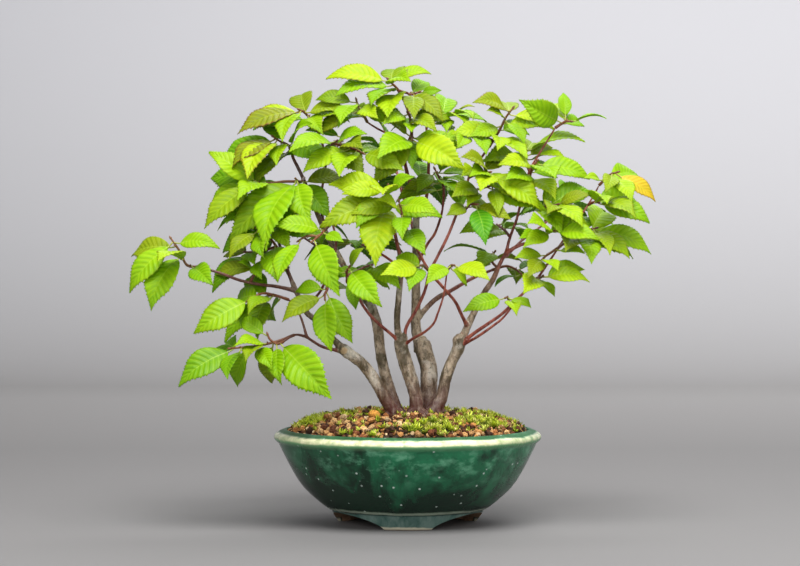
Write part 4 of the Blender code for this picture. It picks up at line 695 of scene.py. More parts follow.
# --- material nodes ------------------------------------------------------
class Paint:
    """Short names for building a node material; lengths in it are in metres."""

    def __init__(self, name):
        self.material = bpy.data.materials.new(name)
        self.material.use_nodes = True
        self.tree = self.material.node_tree
        self.shader = self.tree.nodes["Principled BSDF"]
        self.output = self.tree.nodes["Material Output"]
        self.coords = self.add("ShaderNodeTexCoord").outputs["Object"]

    def add(self, kind, **settings):
        node = self.tree.nodes.new(kind)
        for key, value in settings.items():
            setattr(node, key, value)
        return node

    def link(self, source, target):
        if isinstance(source, (int, float)):
            target.default_value = source
        elif isinstance(source, tuple):
            target.default_value = source if len(source) == 4 else source + (1.0,)
        else:
            self.tree.links.new(source, target)

    def texture(self, kind, scale, stretch):
        """A texture on the object's coordinates, at so many cells a metre, stretched along each axis."""
        mapping = self.add("ShaderNodeMapping")
        mapping.inputs["Scale"].default_value = stretch
        self.link(self.coords, mapping.inputs["Vector"])
        node = self.add(kind)
        node.inputs["Scale"].default_value = scale
        self.link(mapping.outputs["Vector"], node.inputs["Vector"])
        return node

    def noise(self, scale, detail=4.0, rough=0.55, stretch=(1.0, 1.0, 1.0), distortion=0.0):
        """Smooth noise, from about 0.3 to 0.7."""
        node = self.texture("ShaderNodeTexNoise", scale, stretch)
        node.inputs["Detail"].default_value = detail
        node.inputs["Roughness"].default_value = rough
        node.inputs["Distortion"].default_value = distortion
        return node.outputs["Fac"]

    def cells(self, scale, stretch=(1.0, 1.0, 1.0)):
        """Distance from the middle of the nearest cell."""
        return self.texture("ShaderNodeTexVoronoi", scale, stretch).outputs["Distance"]

    def ramp(self, value, low, high, start=0.0, end=1.0):
        """The value moved from low..high to start..end, clamped."""
        node = self.add("ShaderNodeMapRange")
        self.link(value, node.inputs["Value"])
        node.inputs["From Min"].default_value = low
        node.inputs["From Max"].default_value = high
        node.inputs["To Min"].default_value = start
        node.inputs["To Max"].default_value = end
        return node.outputs["Result"]

    def band(self, value, start, rise, fall, end):
        """1 from rise to fall, sinking to 0 at start and end."""
        return self.times(self.ramp(value, start, rise), self.ramp(value, end, fall))

    def math(self, operation, first, second=0.5):
        node = self.add("ShaderNodeMath", operation=operation)
        self.link(first, node.inputs[0])
        self.link(second, node.inputs[1])
        return node.outputs["Value"]

    def split(self, vector):
        """The x, y and z of a vector."""
        node = self.add("ShaderNodeSeparateXYZ")
        self.link(vector, node.inputs["Vector"])
        return [node.outputs[axis] for axis in "XYZ"]

    def times(self, first, second):
        return self.math("MULTIPLY", first, second)

    def plus(self, first, second):
        return self.math("ADD", first, second)

    def tint(self, share, low, high):
        """A colour multiplied by another, for a share of it."""
        return self.mix(share, low, high, "MULTIPLY")

    def mix(self, share, low, high, blend="MIX"):
        node = self.add("ShaderNodeMix", data_type="RGBA", blend_type=blend)
        self.link(share, node.inputs[0])
        self.link(low, node.inputs[6])
        self.link(high, node.inputs[7])
        return node.outputs[2]

    def bump(self, height, strength, distance, under=None):
        node = self.add("ShaderNodeBump")
        node.inputs["Strength"].default_value = strength
        node.inputs["Distance"].default_value = distance
        self.link(height, node.inputs["Height"])
        if under is not None:
            self.link(under, node.inputs["Normal"])
        return node.outputs["Normal"]

    def attribute(self, name):
        return self.add("ShaderNodeAttribute", attribute_name=name)

    def set(self, **sockets):
        """Values and links onto the Principled shader; base_color is Base Color, and so on."""
        for key, value in sockets.items():
            label = {"specular": "Specular IOR Level"}.get(key, key.replace("_", " ").title())
            self.link(value, self.shader.inputs[label])

    def blend_in(self, share, other):
        """Another shader mixed with the Principled one."""
        both = self.add("ShaderNodeMixShader")
        self.link(share, both.inputs[0])
        self.link(self.shader.outputs["BSDF"], both.inputs[1])
        self.link(other.outputs["BSDF"], both.inputs[2])
        self.link(both.outputs["Shader"], self.output.inputs["Surface"])

    def light_through(self, share, colour, normal=None):
        """Some of the light passes the surface and takes its colour."""
        through = self.add("ShaderNodeBsdfTranslucent")
        self.link(colour, through.inputs["Color"])
        if normal is not None:
            self.link(normal, through.inputs["Normal"])
        self.blend_in(share, through)


def axis_coords(paint):
    """Object coordinates from the pot's axis: x, z and the distance from the axis."""
    mapping = paint.add("ShaderNodeMapping")
    mapping.inputs["Location"].default_value = (-MODEL_SHIFT[0] * MM, -MODEL_SHIFT[1] * MM, 0.0)
    paint.link(paint.coords, mapping.inputs["Vector"])
    x, y, z = paint.split(mapping.outputs["Vector"])
    return x, z, paint.math("SQRT", paint.plus(paint.times(x, x), paint.times(y, y)))


def leaf_material(settings):
    """Blade: the leaf's own colour, painted shade in stripes between the veins for the pleats, paler veins,
    a red margin on some, light through it.
    """
    paint = Paint("leaf_blade")
    tone = paint.attribute("tone")
    along, across = paint.split(paint.add("ShaderNodeUVMap", uv_map="blade").outputs["UV"])[:2]
    off_middle = paint.math("ABSOLUTE", paint.math("SUBTRACT", across, 0.5))
    phase = paint.math("FRACT", paint.times(along, float(VEIN_PAIRS)))
    from_vein = paint.math("MINIMUM", phase, paint.math("SUBTRACT", 1.0, phase))
    vein = paint.ramp(from_vein, 0.02, 0.16, 1.0, 0.0)
    midrib = paint.ramp(off_middle, 0.008, 0.03, 1.0, 0.0)
    patch = paint.noise(260.0, 3.0)
    # painted shade: the blade darkens in stripes between the veins, for the pleats
    pleat_shade = paint.times(paint.ramp(from_vein, 0.2, 0.5), paint.ramp(patch, 0.35, 0.65, 0.22, 0.6))
    shade = paint.ramp(paint.noise(170.0, 4.0, 0.6), 0.42, 0.66, 0.0, 0.5)
    colour = paint.tint(shade, tone.outputs["Color"], (0.62, 0.80, 0.55))
    colour = paint.tint(pleat_shade, colour, (0.52, 0.72, 0.4))
    pale = paint.mix(0.55, colour, settings.vein_colour[:3])
    colour = paint.mix(paint.times(vein, 0.28), colour, pale)
    colour = paint.mix(paint.times(midrib, 0.7), colour, pale)
    rim = paint.ramp(off_middle, 0.4, 0.497, 0.0, 1.0)
    red = paint.times(paint.times(rim, rim), tone.outputs["Alpha"])
    red = paint.times(red, paint.ramp(paint.noise(500.0, 2.0), 0.3, 0.55))
    colour = paint.mix(red, colour, settings.margin_colour[:3])
    fine = paint.noise(2600.0, 3.0)
    bump = paint.bump(vein, 0.35, 0.00018, paint.bump(fine, 0.25, 0.00012))
    roughness = paint.ramp(fine, 0.2, 0.8, 0.36, 0.52)
    paint.set(base_color=colour, roughness=roughness, normal=bump, specular=0.27)
    paint.light_through(settings.light_through, paint.tint(0.5, colour, (1.0, 1.0, 0.25)), bump)
    return paint.material


def shoot_material():
    """Young twig and leaf stalk: red-brown on the twig, pale green towards the blade."""
    paint = Paint("young_shoot")
    tone = paint.attribute("tone").outputs["Color"]
    speck = paint.ramp(paint.cells(1500.0), 0.1, 0.3, 1.0, 0.0)
    colour = paint.tint(paint.ramp(paint.noise(700.0, 3.0), 0.3, 0.7, 0.0, 0.5), tone, (0.55, 0.45, 0.4))
    colour = paint.mix(paint.times(speck, 0.25), colour, (0.55, 0.42, 0.3))
    paint.set(base_color=colour, roughness=0.5, normal=paint.bump(paint.noise(1800.0, 3.0), 0.3, 0.0001))
    return paint.material


def bark_material(settings):
    """Bark: red-brown and smooth on thin wood, grey-olive, flaked and cracked on the trunks, with pale
    patches that are partly painted highlight.
    """
    paint = Paint("bark")
    girth = paint.attribute("girth").outputs["Fac"]
    scar = paint.attribute("scar").outputs["Fac"]
    old = paint.ramp(girth, 0.95, 1.5)
    streak = paint.noise(420.0, 7.0, 0.66, (1.0, 1.0, 0.4), 0.5)
    blotch = paint.noise(150.0, 5.0, 0.62, (1.0, 1.0, 0.55), 0.5)
    rough_bark = paint.noise(900.0, 5.0, 0.7, (1.0, 1.0, 0.7), 0.3)
    groove = paint.math("ABSOLUTE", paint.math("SUBTRACT", rough_bark, 0.5))
    crack = paint.times(paint.ramp(groove, 0.0, 0.045, 1.0, 0.0), paint.ramp(blotch, 0.42, 0.58))
    young = paint.mix(paint.ramp(streak, 0.38, 0.62), settings.young_bark[:3], (0.42, 0.11, 0.07))
    grey = paint.mix(paint.ramp(streak, 0.34, 0.64), settings.old_bark[:3], (0.56, 0.44, 0.32))
    grey = paint.mix(paint.ramp(blotch, 0.48, 0.57, 0.0, 0.88), grey, (0.09, 0.066, 0.026))
    # pale patches: partly the bark's own silver-grey mottling, partly painted highlight
    pale = paint.ramp(paint.noise(110.0, 4.0, 0.55, (1.0, 1.0, 0.8), 0.4), 0.56, 0.66, 0.0, 0.75)
    grey = paint.mix(pale, grey, (0.76, 0.68, 0.58))
    grey = paint.mix(paint.ramp(rough_bark, 0.55, 0.63, 0.0, 0.8), grey, (0.045, 0.028, 0.018))
    grey = paint.mix(paint.times(crack, 0.55), grey, (0.045, 0.028, 0.018))
    x, z, radius = axis_coords(paint)
    young = paint.mix(paint.ramp(x, -0.05, -0.02, 0.75, 0.0), young, (0.085, 0.038, 0.026))
    colour = paint.mix(old, young, grey)
    lenticel = paint.ramp(paint.cells(900.0, (1.0, 1.0, 0.5)), 0.1, 0.26, 1.0, 0.0)
    colour = paint.mix(paint.times(lenticel, 0.35), colour, (0.52, 0.42, 0.32))
    foot = paint.times(paint.ramp(z, 0.057, 0.071, 1.0, 0.0), paint.ramp(radius, 0.03, 0.024))
    foot = paint.times(foot, paint.ramp(streak, 0.4, 0.6, 1.0, 0.7))
    colour = paint.mix(foot, colour, (0.075, 0.013, 0.009))
    bare_wood = paint.mix(paint.ramp(streak, 0.3, 0.7), (0.42, 0.26, 0.13), (0.62, 0.45, 0.28))
    colour = paint.mix(scar, colour, bare_wood)
    height = paint.plus(streak, paint.times(paint.math("SUBTRACT", 0.5, rough_bark), old))
    paint.set(base_color=colour, roughness=paint.ramp(blotch, 0.35, 0.65, 0.3, 0.56),
              normal=paint.bump(height, 0.75, 0.00045))
    return paint.material


def glaze_material(settings):
    """Pot: mottled bottle green glaze, cream where it breaks on the lip, bare clay underneath; painted light
    on the upper body and the front of the lip, painted shade on the left side.
    """
    paint = Paint("green_glaze")
    x, z, radius = axis_coords(paint)
    cloud = paint.noise(34.0, 5.0, 0.62, (1.0, 1.0, 0.55), 0.8)
    drip = paint.noise(210.0, 4.0, 0.6, (1.0, 1.0, 0.3), 0.4)
    grain = paint.noise(900.0, 3.0)
    pool = paint.plus(paint.times(cloud, 1.2), paint.times(drip, 0.35))
    pool = paint.plus(pool, paint.times(paint.ramp(z, 0.008, 0.04), 0.42))
    colour = paint.mix(paint.ramp(pool, 0.88, 1.28), settings.glaze_dark[:3], settings.glaze_light[:3])
    # partly glaze mottling, partly painted light: lighter green patches on the upper body only
    haze_and_painted_light = paint.ramp(paint.noise(120.0, 5.0, 0.66, (1.0, 1.0, 1.6)), 0.5, 0.66)
    haze_and_painted_light = paint.times(haze_and_painted_light, paint.ramp(z, 0.02, 0.034))
    colour = paint.mix(paint.times(haze_and_painted_light, 0.85), colour, (0.15, 0.42, 0.25))
    dark = paint.ramp(paint.noise(70.0, 4.0, 0.6), 0.53, 0.68, 0.0, 0.8)
    colour = paint.mix(dark, colour, (0.003, 0.016, 0.008))
    # painted shade: the glaze darkens towards the pot's left side
    colour = paint.mix(paint.ramp(x, -0.056, -0.024, 0.62, 0.0), colour, (0.006, 0.014, 0.006))
    dot = paint.ramp(paint.cells(175.0), 0.07, 0.115, 1.0, 0.0)
    dot = paint.times(dot, paint.ramp(paint.noise(60.0, 2.0), 0.34, 0.46, 0.4, 1.0))
    colour = paint.mix(paint.times(dot, 0.92), colour, (0.56, 0.66, 0.6))
    # the lip: cream on its outer edge where the glaze breaks, strongest at the front as painted highlight,
    # thin green on its top
    wander = paint.ramp(paint.noise(60.0, 4.0, 0.6), 0.2, 0.8, -0.0007, 0.0007)
    level = paint.plus(z, wander)
    fade = paint.band(level, 0.038, 0.0402, 0.042, 0.0428)
    colour = paint.mix(paint.times(fade, 0.8), colour, (0.15, 0.34, 0.15))
    band = paint.band(level, 0.0403, 0.0411, 0.0428, 0.0435)
    band = paint.times(band, paint.ramp(radius, 0.06, 0.0612))
    # painted highlight: the cream band is full at the front and weaker to the sides
    band = paint.times(band, paint.ramp(paint.math("ABSOLUTE", x), 0.025, 0.058, 1.0, 0.60))
    patches = paint.ramp(paint.noise(160.0, 4.0, 0.6), 0.42, 0.66)
    cream = paint.mix(patches, (0.9, 0.83, 0.54), (0.4, 0.46, 0.22))
    colour = paint.mix(paint.times(band, paint.ramp(drip, 0.28, 0.44, 0.35, 1.0)), colour, cream)
    top = paint.times(paint.ramp(level, 0.043, 0.0436), paint.ramp(radius, 0.056, 0.0568))
    top_share = paint.times(top, paint.ramp(cloud, 0.35, 0.62, 0.4, 0.85))
    colour = paint.mix(top_share, colour, (0.036, 0.09, 0.032))
    # the foot: thin blue-grey glaze on the outer face, cream at its lower edge
    outer = paint.ramp(radius, 0.0322, 0.0328)
    face = paint.times(paint.ramp(level, 0.0076, 0.0068), outer)
    thin = paint.mix(paint.ramp(drip, 0.35, 0.62), (0.15, 0.23, 0.2), (0.055, 0.12, 0.1))
    colour = paint.mix(face, colour, thin)
    line = paint.band(level, 0.0072, 0.0078, 0.0082, 0.009)
    colour = paint.mix(paint.times(line, 0.9), colour, (0.42, 0.5, 0.38))
    hem = paint.times(paint.ramp(level, 0.0016, 0.001), outer)
    colour = paint.mix(hem, colour, (0.64, 0.6, 0.45))
    # bare clay where no glaze reaches: under the pot, inside and under the feet
    facing = paint.split(paint.add("ShaderNodeNewGeometry").outputs["Normal"])[2]
    down = paint.times(paint.ramp(facing, -0.7, -0.85), paint.ramp(z, 0.0076, 0.0072))
    down = paint.times(down, paint.ramp(radius, 0.0358, 0.0352))
    inside = paint.times(paint.ramp(radius, 0.0322, 0.0316), paint.ramp(z, 0.0114, 0.0112))
    bare = paint.math("MAXIMUM", down, inside)
    clay = paint.mix(paint.ramp(grain, 0.3, 0.7), (0.36, 0.21, 0.12), (0.52, 0.33, 0.2))
    colour = paint.mix(bare, colour, clay)
    rough = paint.plus(paint.times(bare, 0.6), paint.ramp(cloud, 0.3, 0.7, 0.2, 0.32))
    rough = paint.plus(rough, paint.times(top, 0.2))
    height = paint.plus(paint.noise(120.0, 2.0), paint.times(dot, 0.15))
    bump = paint.bump(height, 0.1, 0.0008)
    bump = paint.bump(paint.times(grain, bare), 0.5, 0.0003, bump)
    shine = paint.ramp(top, 0.0, 1.0, 0.34, 0.06)
    paint.set(base_color=colour, roughness=rough, normal=bump, specular=shine)
    return paint.material


def grain_material():
    """Akadama grains: each its own colour, dusty and pitted."""
    paint = Paint("soil_grain")
    tone = paint.attribute("tone").outputs["Color"]
    pit = paint.noise(1400.0, 4.0, 0.65)
    colour = paint.tint(paint.ramp(pit, 0.38, 0.62, 0.0, 0.9), tone, (0.34, 0.24, 0.18))
    paint.set(base_color=colour, roughness=0.93, normal=paint.bump(pit, 0.6, 0.0003), specular=0.25)
    return paint.material


def bed_material():
    """The dark fine soil between the grains, darkened further as painted shade in the gaps."""
    paint = Paint("soil_bed")
    crumb = paint.cells(520.0)
    shade = paint.noise(380.0, 5.0, 0.65)
    colour = paint.mix(paint.ramp(shade, 0.3, 0.7), (0.01, 0.006, 0.004), (0.07, 0.036, 0.018))
    colour = paint.mix(paint.ramp(crumb, 0.15, 0.55, 0.35, 0.0), colour, (0.12, 0.062, 0.03))
    paint.set(base_color=colour, roughness=0.95, normal=paint.bump(crumb, 0.8, 0.0012))
    return paint.material


def root_material():
    """The root pad: fibrous dark brown."""
    paint = Paint("root_fibre")
    fibre = paint.noise(420.0, 6.0, 0.7, (1.0, 0.35, 1.0), 1.5)
    colour = paint.mix(paint.ramp(fibre, 0.3, 0.7), (0.028, 0.016, 0.01), (0.17, 0.095, 0.055))
    paint.set(base_color=colour, roughness=0.92, normal=paint.bump(fibre, 0.8, 0.001))
    return paint.material


def moss_material():
    """Moss: bright yellow-green blades, each sprig a little different, dark in the mat."""
    paint = Paint("moss_blade")
    tone = paint.attribute("tone").outputs["Color"]
    shade = paint.ramp(paint.noise(1500.0, 2.0), 0.35, 0.7, 0.0, 0.5)
    colour = paint.tint(shade, tone, (0.6, 0.75, 0.35))
    paint.set(base_color=colour, roughness=0.62, normal=paint.bump(paint.noise(2400.0, 2.0), 0.3, 0.0001))
    paint.light_through(0.25, colour)
    return paint.material


def plastic_mesh_material():
    """Drain screen: black moulded plastic with a faint weave."""
    paint = Paint("black_plastic_mesh")
    weave = paint.noise(1900.0, 3.0)
    colour = paint.mix(paint.ramp(weave, 0.3, 0.7), (0.01, 0.01, 0.011), (0.03, 0.03, 0.032))
    roughness = paint.ramp(weave, 0.2, 0.8, 0.45, 0.65)
    paint.set(base_color=colour, roughness=roughness, normal=paint.bump(weave, 0.3, 0.0001))
    return paint.material


def wire_material():
    """Annealed aluminium wire, drawn along its length and slightly dulled."""
    paint = Paint("aluminium_wire")
    drawn = paint.noise(1600.0, 3.0, 0.5, (0.08, 1.0, 1.0))
    colour = paint.mix(paint.ramp(drawn, 0.3, 0.7), (0.36, 0.35, 0.34), (0.62, 0.61, 0.6))
    paint.set(base_color=colour, metallic=1.0, roughness=paint.ramp(drawn, 0.2, 0.8, 0.28, 0.46))
    return paint.material


# --- pot and drainage ----------------------------------------------------
# section of the pot: radius and height, from the drain hole round the outside to the floor
POT_SECTION = (
    (7.4, 7.0), (18.0, 7.0), (28.0, 7.0), (28.5, 6.6), (28.5, 3.0), (28.6, 0.5), (29.0, 0.0), (31.0, 0.0),
    (32.9, 0.0), (33.5, 0.3), (33.9, 1.2), (34.9, 4.0), (35.8, 6.2), (36.1, 6.75), (36.7, 7.05),
    (37.5, 7.3),
    (39.2, 8.4), (42.0, 10.6), (46.3, 14.3), (49.2, 17.3), (51.6, 20.5), (54.0, 24.5), (56.2, 28.6),
    (58.4, 32.9),
    (60.3, 36.8), (60.9, 38.2), (61.9, 39.0), (62.7, 39.7), (63.0, 40.5), (63.0, 41.3), (62.7, 42.1),
    (62.0, 42.7),
    (60.4, 43.6), (58.8, 44.25), (57.9, 44.5), (57.2, 44.45), (56.7, 43.9), (56.4, 43.0),
    (55.6, 39.6), (52.2, 31.2),
    (46.6, 21.2), (38.2, 13.6), (32.0, 11.3), (20.0, 11.0), (7.8, 11.0), (7.2, 10.5), (7.1, 9.0),
    (7.2, 7.4),
)
# arches through the foot ring: rounded tunnels that start a little below the foot
ARCH_HALF_WIDTH = 22.0
ARCH_HEIGHT = 6.4
ARCH_SINK = 0.3
ARCH_DEPTH = 32.0
ARCH_RADIUS = 34.0
ARCH_AZIMUTHS = (90.0, 210.0, 330.0)
POT_CREASE = math.radians(42.0)


def draw_section(name, section):
    """A closed outline in the XZ plane, drawn point by point by extruding a vertex."""
    deselect()
    bpy.ops.mesh.primitive_plane_add(size=0.001, location=(0.0, 0.0, 0.0))
    piece = bpy.context.object
    piece.name = name
    bpy.ops.object.mode_set(mode="EDIT")
    bpy.ops.mesh.select_all(action="SELECT")
    bpy.ops.mesh.merge(type="CENTER")
    here = Vector((0.0, 0.0, 0.0))
    for step, (radius, height) in enumerate(section):
        there = place((radius, 0.0, height))
        if step == 0:
            bpy.ops.transform.translate(value=there - here)
        else:
            bpy.ops.mesh.extrude_region_move(TRANSFORM_OT_translate={"value": there - here})
        here = there
    bpy.ops.object.mode_set(mode="OBJECT")
    return piece


def close_outline(piece):
    """Join the last point of an outline to its first."""
    shape = bmesh.new()
    shape.from_mesh(piece.data)
    ends = [vertex for vertex in shape.verts if len(vertex.link_edges) == 1]
    shape.edges.new(ends)
    shape.to_mesh(piece.data)
    shape.free()


def cut_arch(pot, azimuth):
    """Cut one arch out of the foot ring."""
    turn = math.radians(azimuth)
    middle = place((ARCH_RADIUS * math.cos(turn), ARCH_RADIUS * math.sin(turn), -ARCH_SINK))
    deselect()
    bpy.ops.mesh.primitive_cylinder_add(vertices=96, radius=ARCH_HALF_WIDTH * MM, depth=ARCH_DEPTH * MM)
    cutter = bpy.context.object
    flat = Matrix.Diagonal((1.0, 1.0, (ARCH_HEIGHT + ARCH_SINK) / ARCH_HALF_WIDTH, 1.0))
    lay = Matrix.Rotation(math.radians(90.0), 4, "Y")
    cutter.data.transform(Matrix.Translation(middle) @ Matrix.Rotation(turn, 4, "Z") @ flat @ lay)
    apply_modifier(pot, "BOOLEAN", operation="DIFFERENCE", solver="EXACT", object=cutter)
    bpy.data.objects.remove(cutter, do_unlink=True)


class BONSAI_OT_make_pot(bpy.types.Operator):
    """Spin the pot, cut the three arches between its feet and glaze it"""

    bl_idname = "bonsai.make_pot"
    bl_label = "Pot"
    bl_options = {"REGISTER", "UNDO"}

    def execute(self, context):
        settings = context.scene.bonsai_pot
        pot = draw_section("glazed_pot", POT_SECTION)
        close_outline(pot)
        choose(pot)
        bpy.ops.object.mode_set(mode="EDIT")
        bpy.ops.mesh.select_all(action="SELECT")
        bpy.ops.mesh.spin(steps=settings.spin_steps, angle=2.0 * math.pi,
                          center=place((0.0, 0.0, 0.0)), axis=(0.0, 0.0, 1.0))
        bpy.ops.mesh.select_all(action="SELECT")
        bpy.ops.mesh.remove_doubles(threshold=1e-6)
        bpy.ops.mesh.normals_make_consistent(inside=False)
        bpy.ops.object.mode_set(mode="OBJECT")
        for azimuth in ARCH_AZIMUTHS:
            cut_arch(pot, azimuth)
        resurface(pot, glaze_material(settings))
        choose(pot)
        bpy.ops.object.shade_smooth_by_angle(angle=POT_CREASE)
        declare(pot, ("pot",))
        return {"FINISHED"}


class BONSAI_OT_make_drainage(bpy.types.Operator):
    """Finish the plastic screen over the drain hole and the wire that holds it"""

    bl_idname = "bonsai.make_drainage"
    bl_label = "Drain screen and wire"
    bl_options = {"REGISTER", "UNDO"}

    def execute(self, context):
        resurface(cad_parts["drain_screen"], plastic_mesh_material())
        resurface(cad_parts["screen_wire"], wire_material())
        return {"FINISHED"}


# --- soil and moss -------------------------------------------------------
# linear colours of the grains and how often each is drawn
GRAIN_TONES = (
    (0.56, 0.28, 0.09), (0.7, 0.4, 0.16), (0.76, 0.49, 0.22), (0.4, 0.16, 0.05),
    (0.26, 0.09, 0.035), (0.13, 0.048, 0.022), (0.06, 0.028, 0.016), (0.8, 0.59, 0.33),
    (0.5, 0.22, 0.07), (0.3, 0.14, 0.06),
)
GRAIN_SHARES = (11, 16, 17, 7, 9, 14, 20, 9, 8, 5)
GRAIN_SIZES = (0.9, 1.1, 1.3, 1.5, 1.8, 2.2)
GRAIN_SHAPES = 9
GRAIN_JITTER = 0.42
# a moss pad is left nearly free of grains inside this share of it
PAD_CORE = 0.8
# how far from the axis the grid of grains reaches, and the centres of grains and sprigs may lie
GRID_REACH = 57.0
GRAIN_LIMIT = 56.2
PAD_SPRIG_LIMIT = 55.9
LOOSE_SPRIG_LIMIT = 55.6
# no loose sprig stands on the root pad, nearer to the axis than this
ROOT_PAD_RADIUS = 14.0
# one rounder orange pebble by the left trunk
PEBBLE_CENTRE = (-15.5, -27.0, 53.0)
PEBBLE_RADIUS = 2.5
PEBBLE_COLOUR = (0.75, 0.36, 0.07, 1.0)
# linear colours of the moss, how often each is drawn, and the mat below the sprigs
MOSS_TONES = (
    (0.78, 0.86, 0.06), (0.92, 0.96, 0.16), (0.58, 0.68, 0.03), (0.3, 0.4, 0.015),
    (0.94, 0.88, 0.22),
)
MOSS_SHARES = (30, 25, 22, 13, 10)
MAT_COLOUR = (0.055, 0.075, 0.008, 1.0)
MAT_RINGS = 9
MAT_SPOKES = 40
# seeds of the random draws
SOIL_SEED = 411
MOSS_SEED = 97
ROOT_SEED = 58
LEAF_SEED = 1000


def near_trunk(x, y, gap):
    """Whether a point is closer to a trunk's foot than a gap."""
    feet = [routes[0][0] for _, routes in STEMS]
    return any(math.hypot(x - foot[0], y - foot[1]) < foot[3] + gap for foot in feet)


def pad_share(x, y, pad):
    """How far a point is from the centre of a moss pad, 1 at its edge."""
    centre_x, centre_y, long_half, wide_half, turn = pad[1:6]
    angle = math.radians(turn)
    dx = x - centre_x
    dy = y - centre_y
    across = (dx * math.cos(angle) + dy * math.sin(angle)) / long_half
    deep = (-dx * math.sin(angle) + dy * math.cos(angle)) / wide_half
    return math.hypot(across, deep)


def pad_point(pad, share, spin):
    """The point of a moss pad a share of the way from its centre to its edge, at an angle."""
    centre_x, centre_y, long_half, wide_half, turn = pad[1:6]
    angle = math.radians(turn)
    across = share * math.cos(spin) * long_half
    deep = share * math.sin(spin) * wide_half
    return (centre_x + across * math.cos(angle) - deep * math.sin(angle),
            centre_y + across * math.sin(angle) + deep * math.cos(angle))


def grain_shapes(draw, count):
    """A few angular grains of a few dozen faces, from a jittered ball with its corners cut."""
    shapes = []
    for _ in range(count):
        deselect()
        bpy.ops.mesh.primitive_ico_sphere_add(subdivisions=1, radius=1.0)
        grain = bpy.context.object
        squash = [draw.uniform(low, high) for low, high in ((0.8, 1.15), (0.7, 1.0), (0.6, 0.9))]
        squash = Matrix.Diagonal((*squash, 1.0))
        for vertex in grain.data.vertices:
            vertex.co = squash @ (vertex.co * draw.uniform(0.68, 1.3))
        apply_modifier(grain, "BEVEL", width=0.05, segments=1, limit_method="ANGLE",
                       angle_limit=math.radians(60.0))
        shape = bmesh.new()
        shape.from_mesh(grain.data)
        bmesh.ops.convex_hull(shape, input=shape.verts)
        loose = [vertex for vertex in shape.verts if not vertex.link_faces]
        bmesh.ops.delete(shape, geom=loose, context="VERTS")
        bmesh.ops.remove_doubles(shape, verts=shape.verts, dist=0.1)
        bmesh.ops.triangulate(shape, faces=shape.faces)
        bmesh.ops.recalc_face_normals(shape, faces=shape.faces)
        shape.verts.ensure_lookup_table()
        points = np.array([vertex.co[:] for vertex in shape.verts])
        faces = [tuple(vertex.index for vertex in face.verts) for face in shape.faces]
        shape.free()
        shapes.append((points, faces))
        bpy.data.objects.remove(grain, do_unlink=True)
    return shapes


class Heap:
    """Many small shapes gathered into one mesh, each with its own colour."""

    def __init__(self):
        self.points = []
        self.faces = []
        self.tones = []
        self.count = 0

    def add(self, points, faces, tone):
        self.points.append(np.asarray(points, dtype=float))
        self.faces += [tuple(corner + self.count for corner in face) for face in faces]
        self.count += len(points)
        tone = np.asarray(tone, dtype=float)
        if tone.ndim == 1:
            tone = np.tile(tone, (len(points), 1))
        self.tones.append(tone)

    def add_tube(self, points, radii, sides, tone):
        self.add(*tube(points, radii, sides), tone)

    def piece(self, name, material, smooth=False):
        points = (np.vstack(self.points) + np.array([MODEL_SHIFT[0], MODEL_SHIFT[1], 0.0])) * MM
        result = new_piece(name, points.tolist(), self.faces, material, smooth)
        write_colours(result.data, "tone", np.vstack(self.tones))
        return result


def strew_grains(draw, step):
    """Two layers of grains over the bed, clear of the trunks and thin under the moss."""
    shapes = grain_shapes(draw, GRAIN_SHAPES)
    heap = Heap()
    rows = int(GRID_REACH / step) + 1
    cells = [(row, column) for row in range(-rows, rows + 1) for column in range(-rows, rows + 1)]
    for upper, row, column in [(upper, *cell) for upper in (False, True) for cell in cells]:
        x = (column + 0.5 * (row % 2) + draw.uniform(-GRAIN_JITTER, GRAIN_JITTER)) * step
        y = (row * 0.9 + draw.uniform(-GRAIN_JITTER, GRAIN_JITTER)) * step
        size = draw.choice(GRAIN_SIZES) * (0.95 if upper else 1.0)
        chance = draw.random()
        points, faces = draw.choice(shapes)
        axis = [draw.uniform(-1, 1) for _ in range(3)]
        turn = np.array(Quaternion(axis, draw.uniform(0.0, math.pi)).to_matrix())
        tone = draw.choices(GRAIN_TONES, GRAIN_SHARES)[0]
        bright = draw.uniform(0.55, 1.3)
        lift = draw.uniform(0.0, 0.7)
        distance = math.hypot(x, y)
        if distance > GRAIN_LIMIT - 0.4 * size or (upper and chance > 0.3):
            continue
        if near_trunk(x, y, 0.5 * size):
            continue
        if min(pad_share(x, y, pad) for pad in MOSS_PADS) < PAD_CORE and chance < 0.8:
            continue
        ground = soil_height(distance) + 0.25
        z = ground + size * (0.25 + 0.35 * lift) + (1.3 * size * lift if upper else 0.0)
        colour = tuple(channel * bright for channel in tone) + (1.0,)
        heap.add(points @ turn.T * size + np.array([x, y, z]), faces, colour)
    return heap


def lay_pebble(material):
    """A rounder orange pebble, as an uneven ball."""
    middle = place(PEBBLE_CENTRE)
    deselect()
    bpy.ops.mesh.primitive_ico_sphere_add(subdivisions=3, radius=PEBBLE_RADIUS * MM, location=middle)
    pebble = bpy.context.object
    pebble.name = "orange_pebble"
    bpy.ops.object.transform_apply(location=True, rotation=True, scale=True)
    for vertex in pebble.data.vertices:
        offset = vertex.co - middle
        swell = 1.0 + 0.16 * noise.noise(offset * 420.0) + 0.06 * noise.noise(offset * 1100.0)
        vertex.co = middle + Vector((offset.x * 1.15, offset.y, offset.z * 0.85)) * swell
    write_colours(pebble.data, "tone", [PEBBLE_COLOUR] * len(pebble.data.vertices))
    resurface(pebble, material)
    pebble.data.shade_smooth()
    return pebble


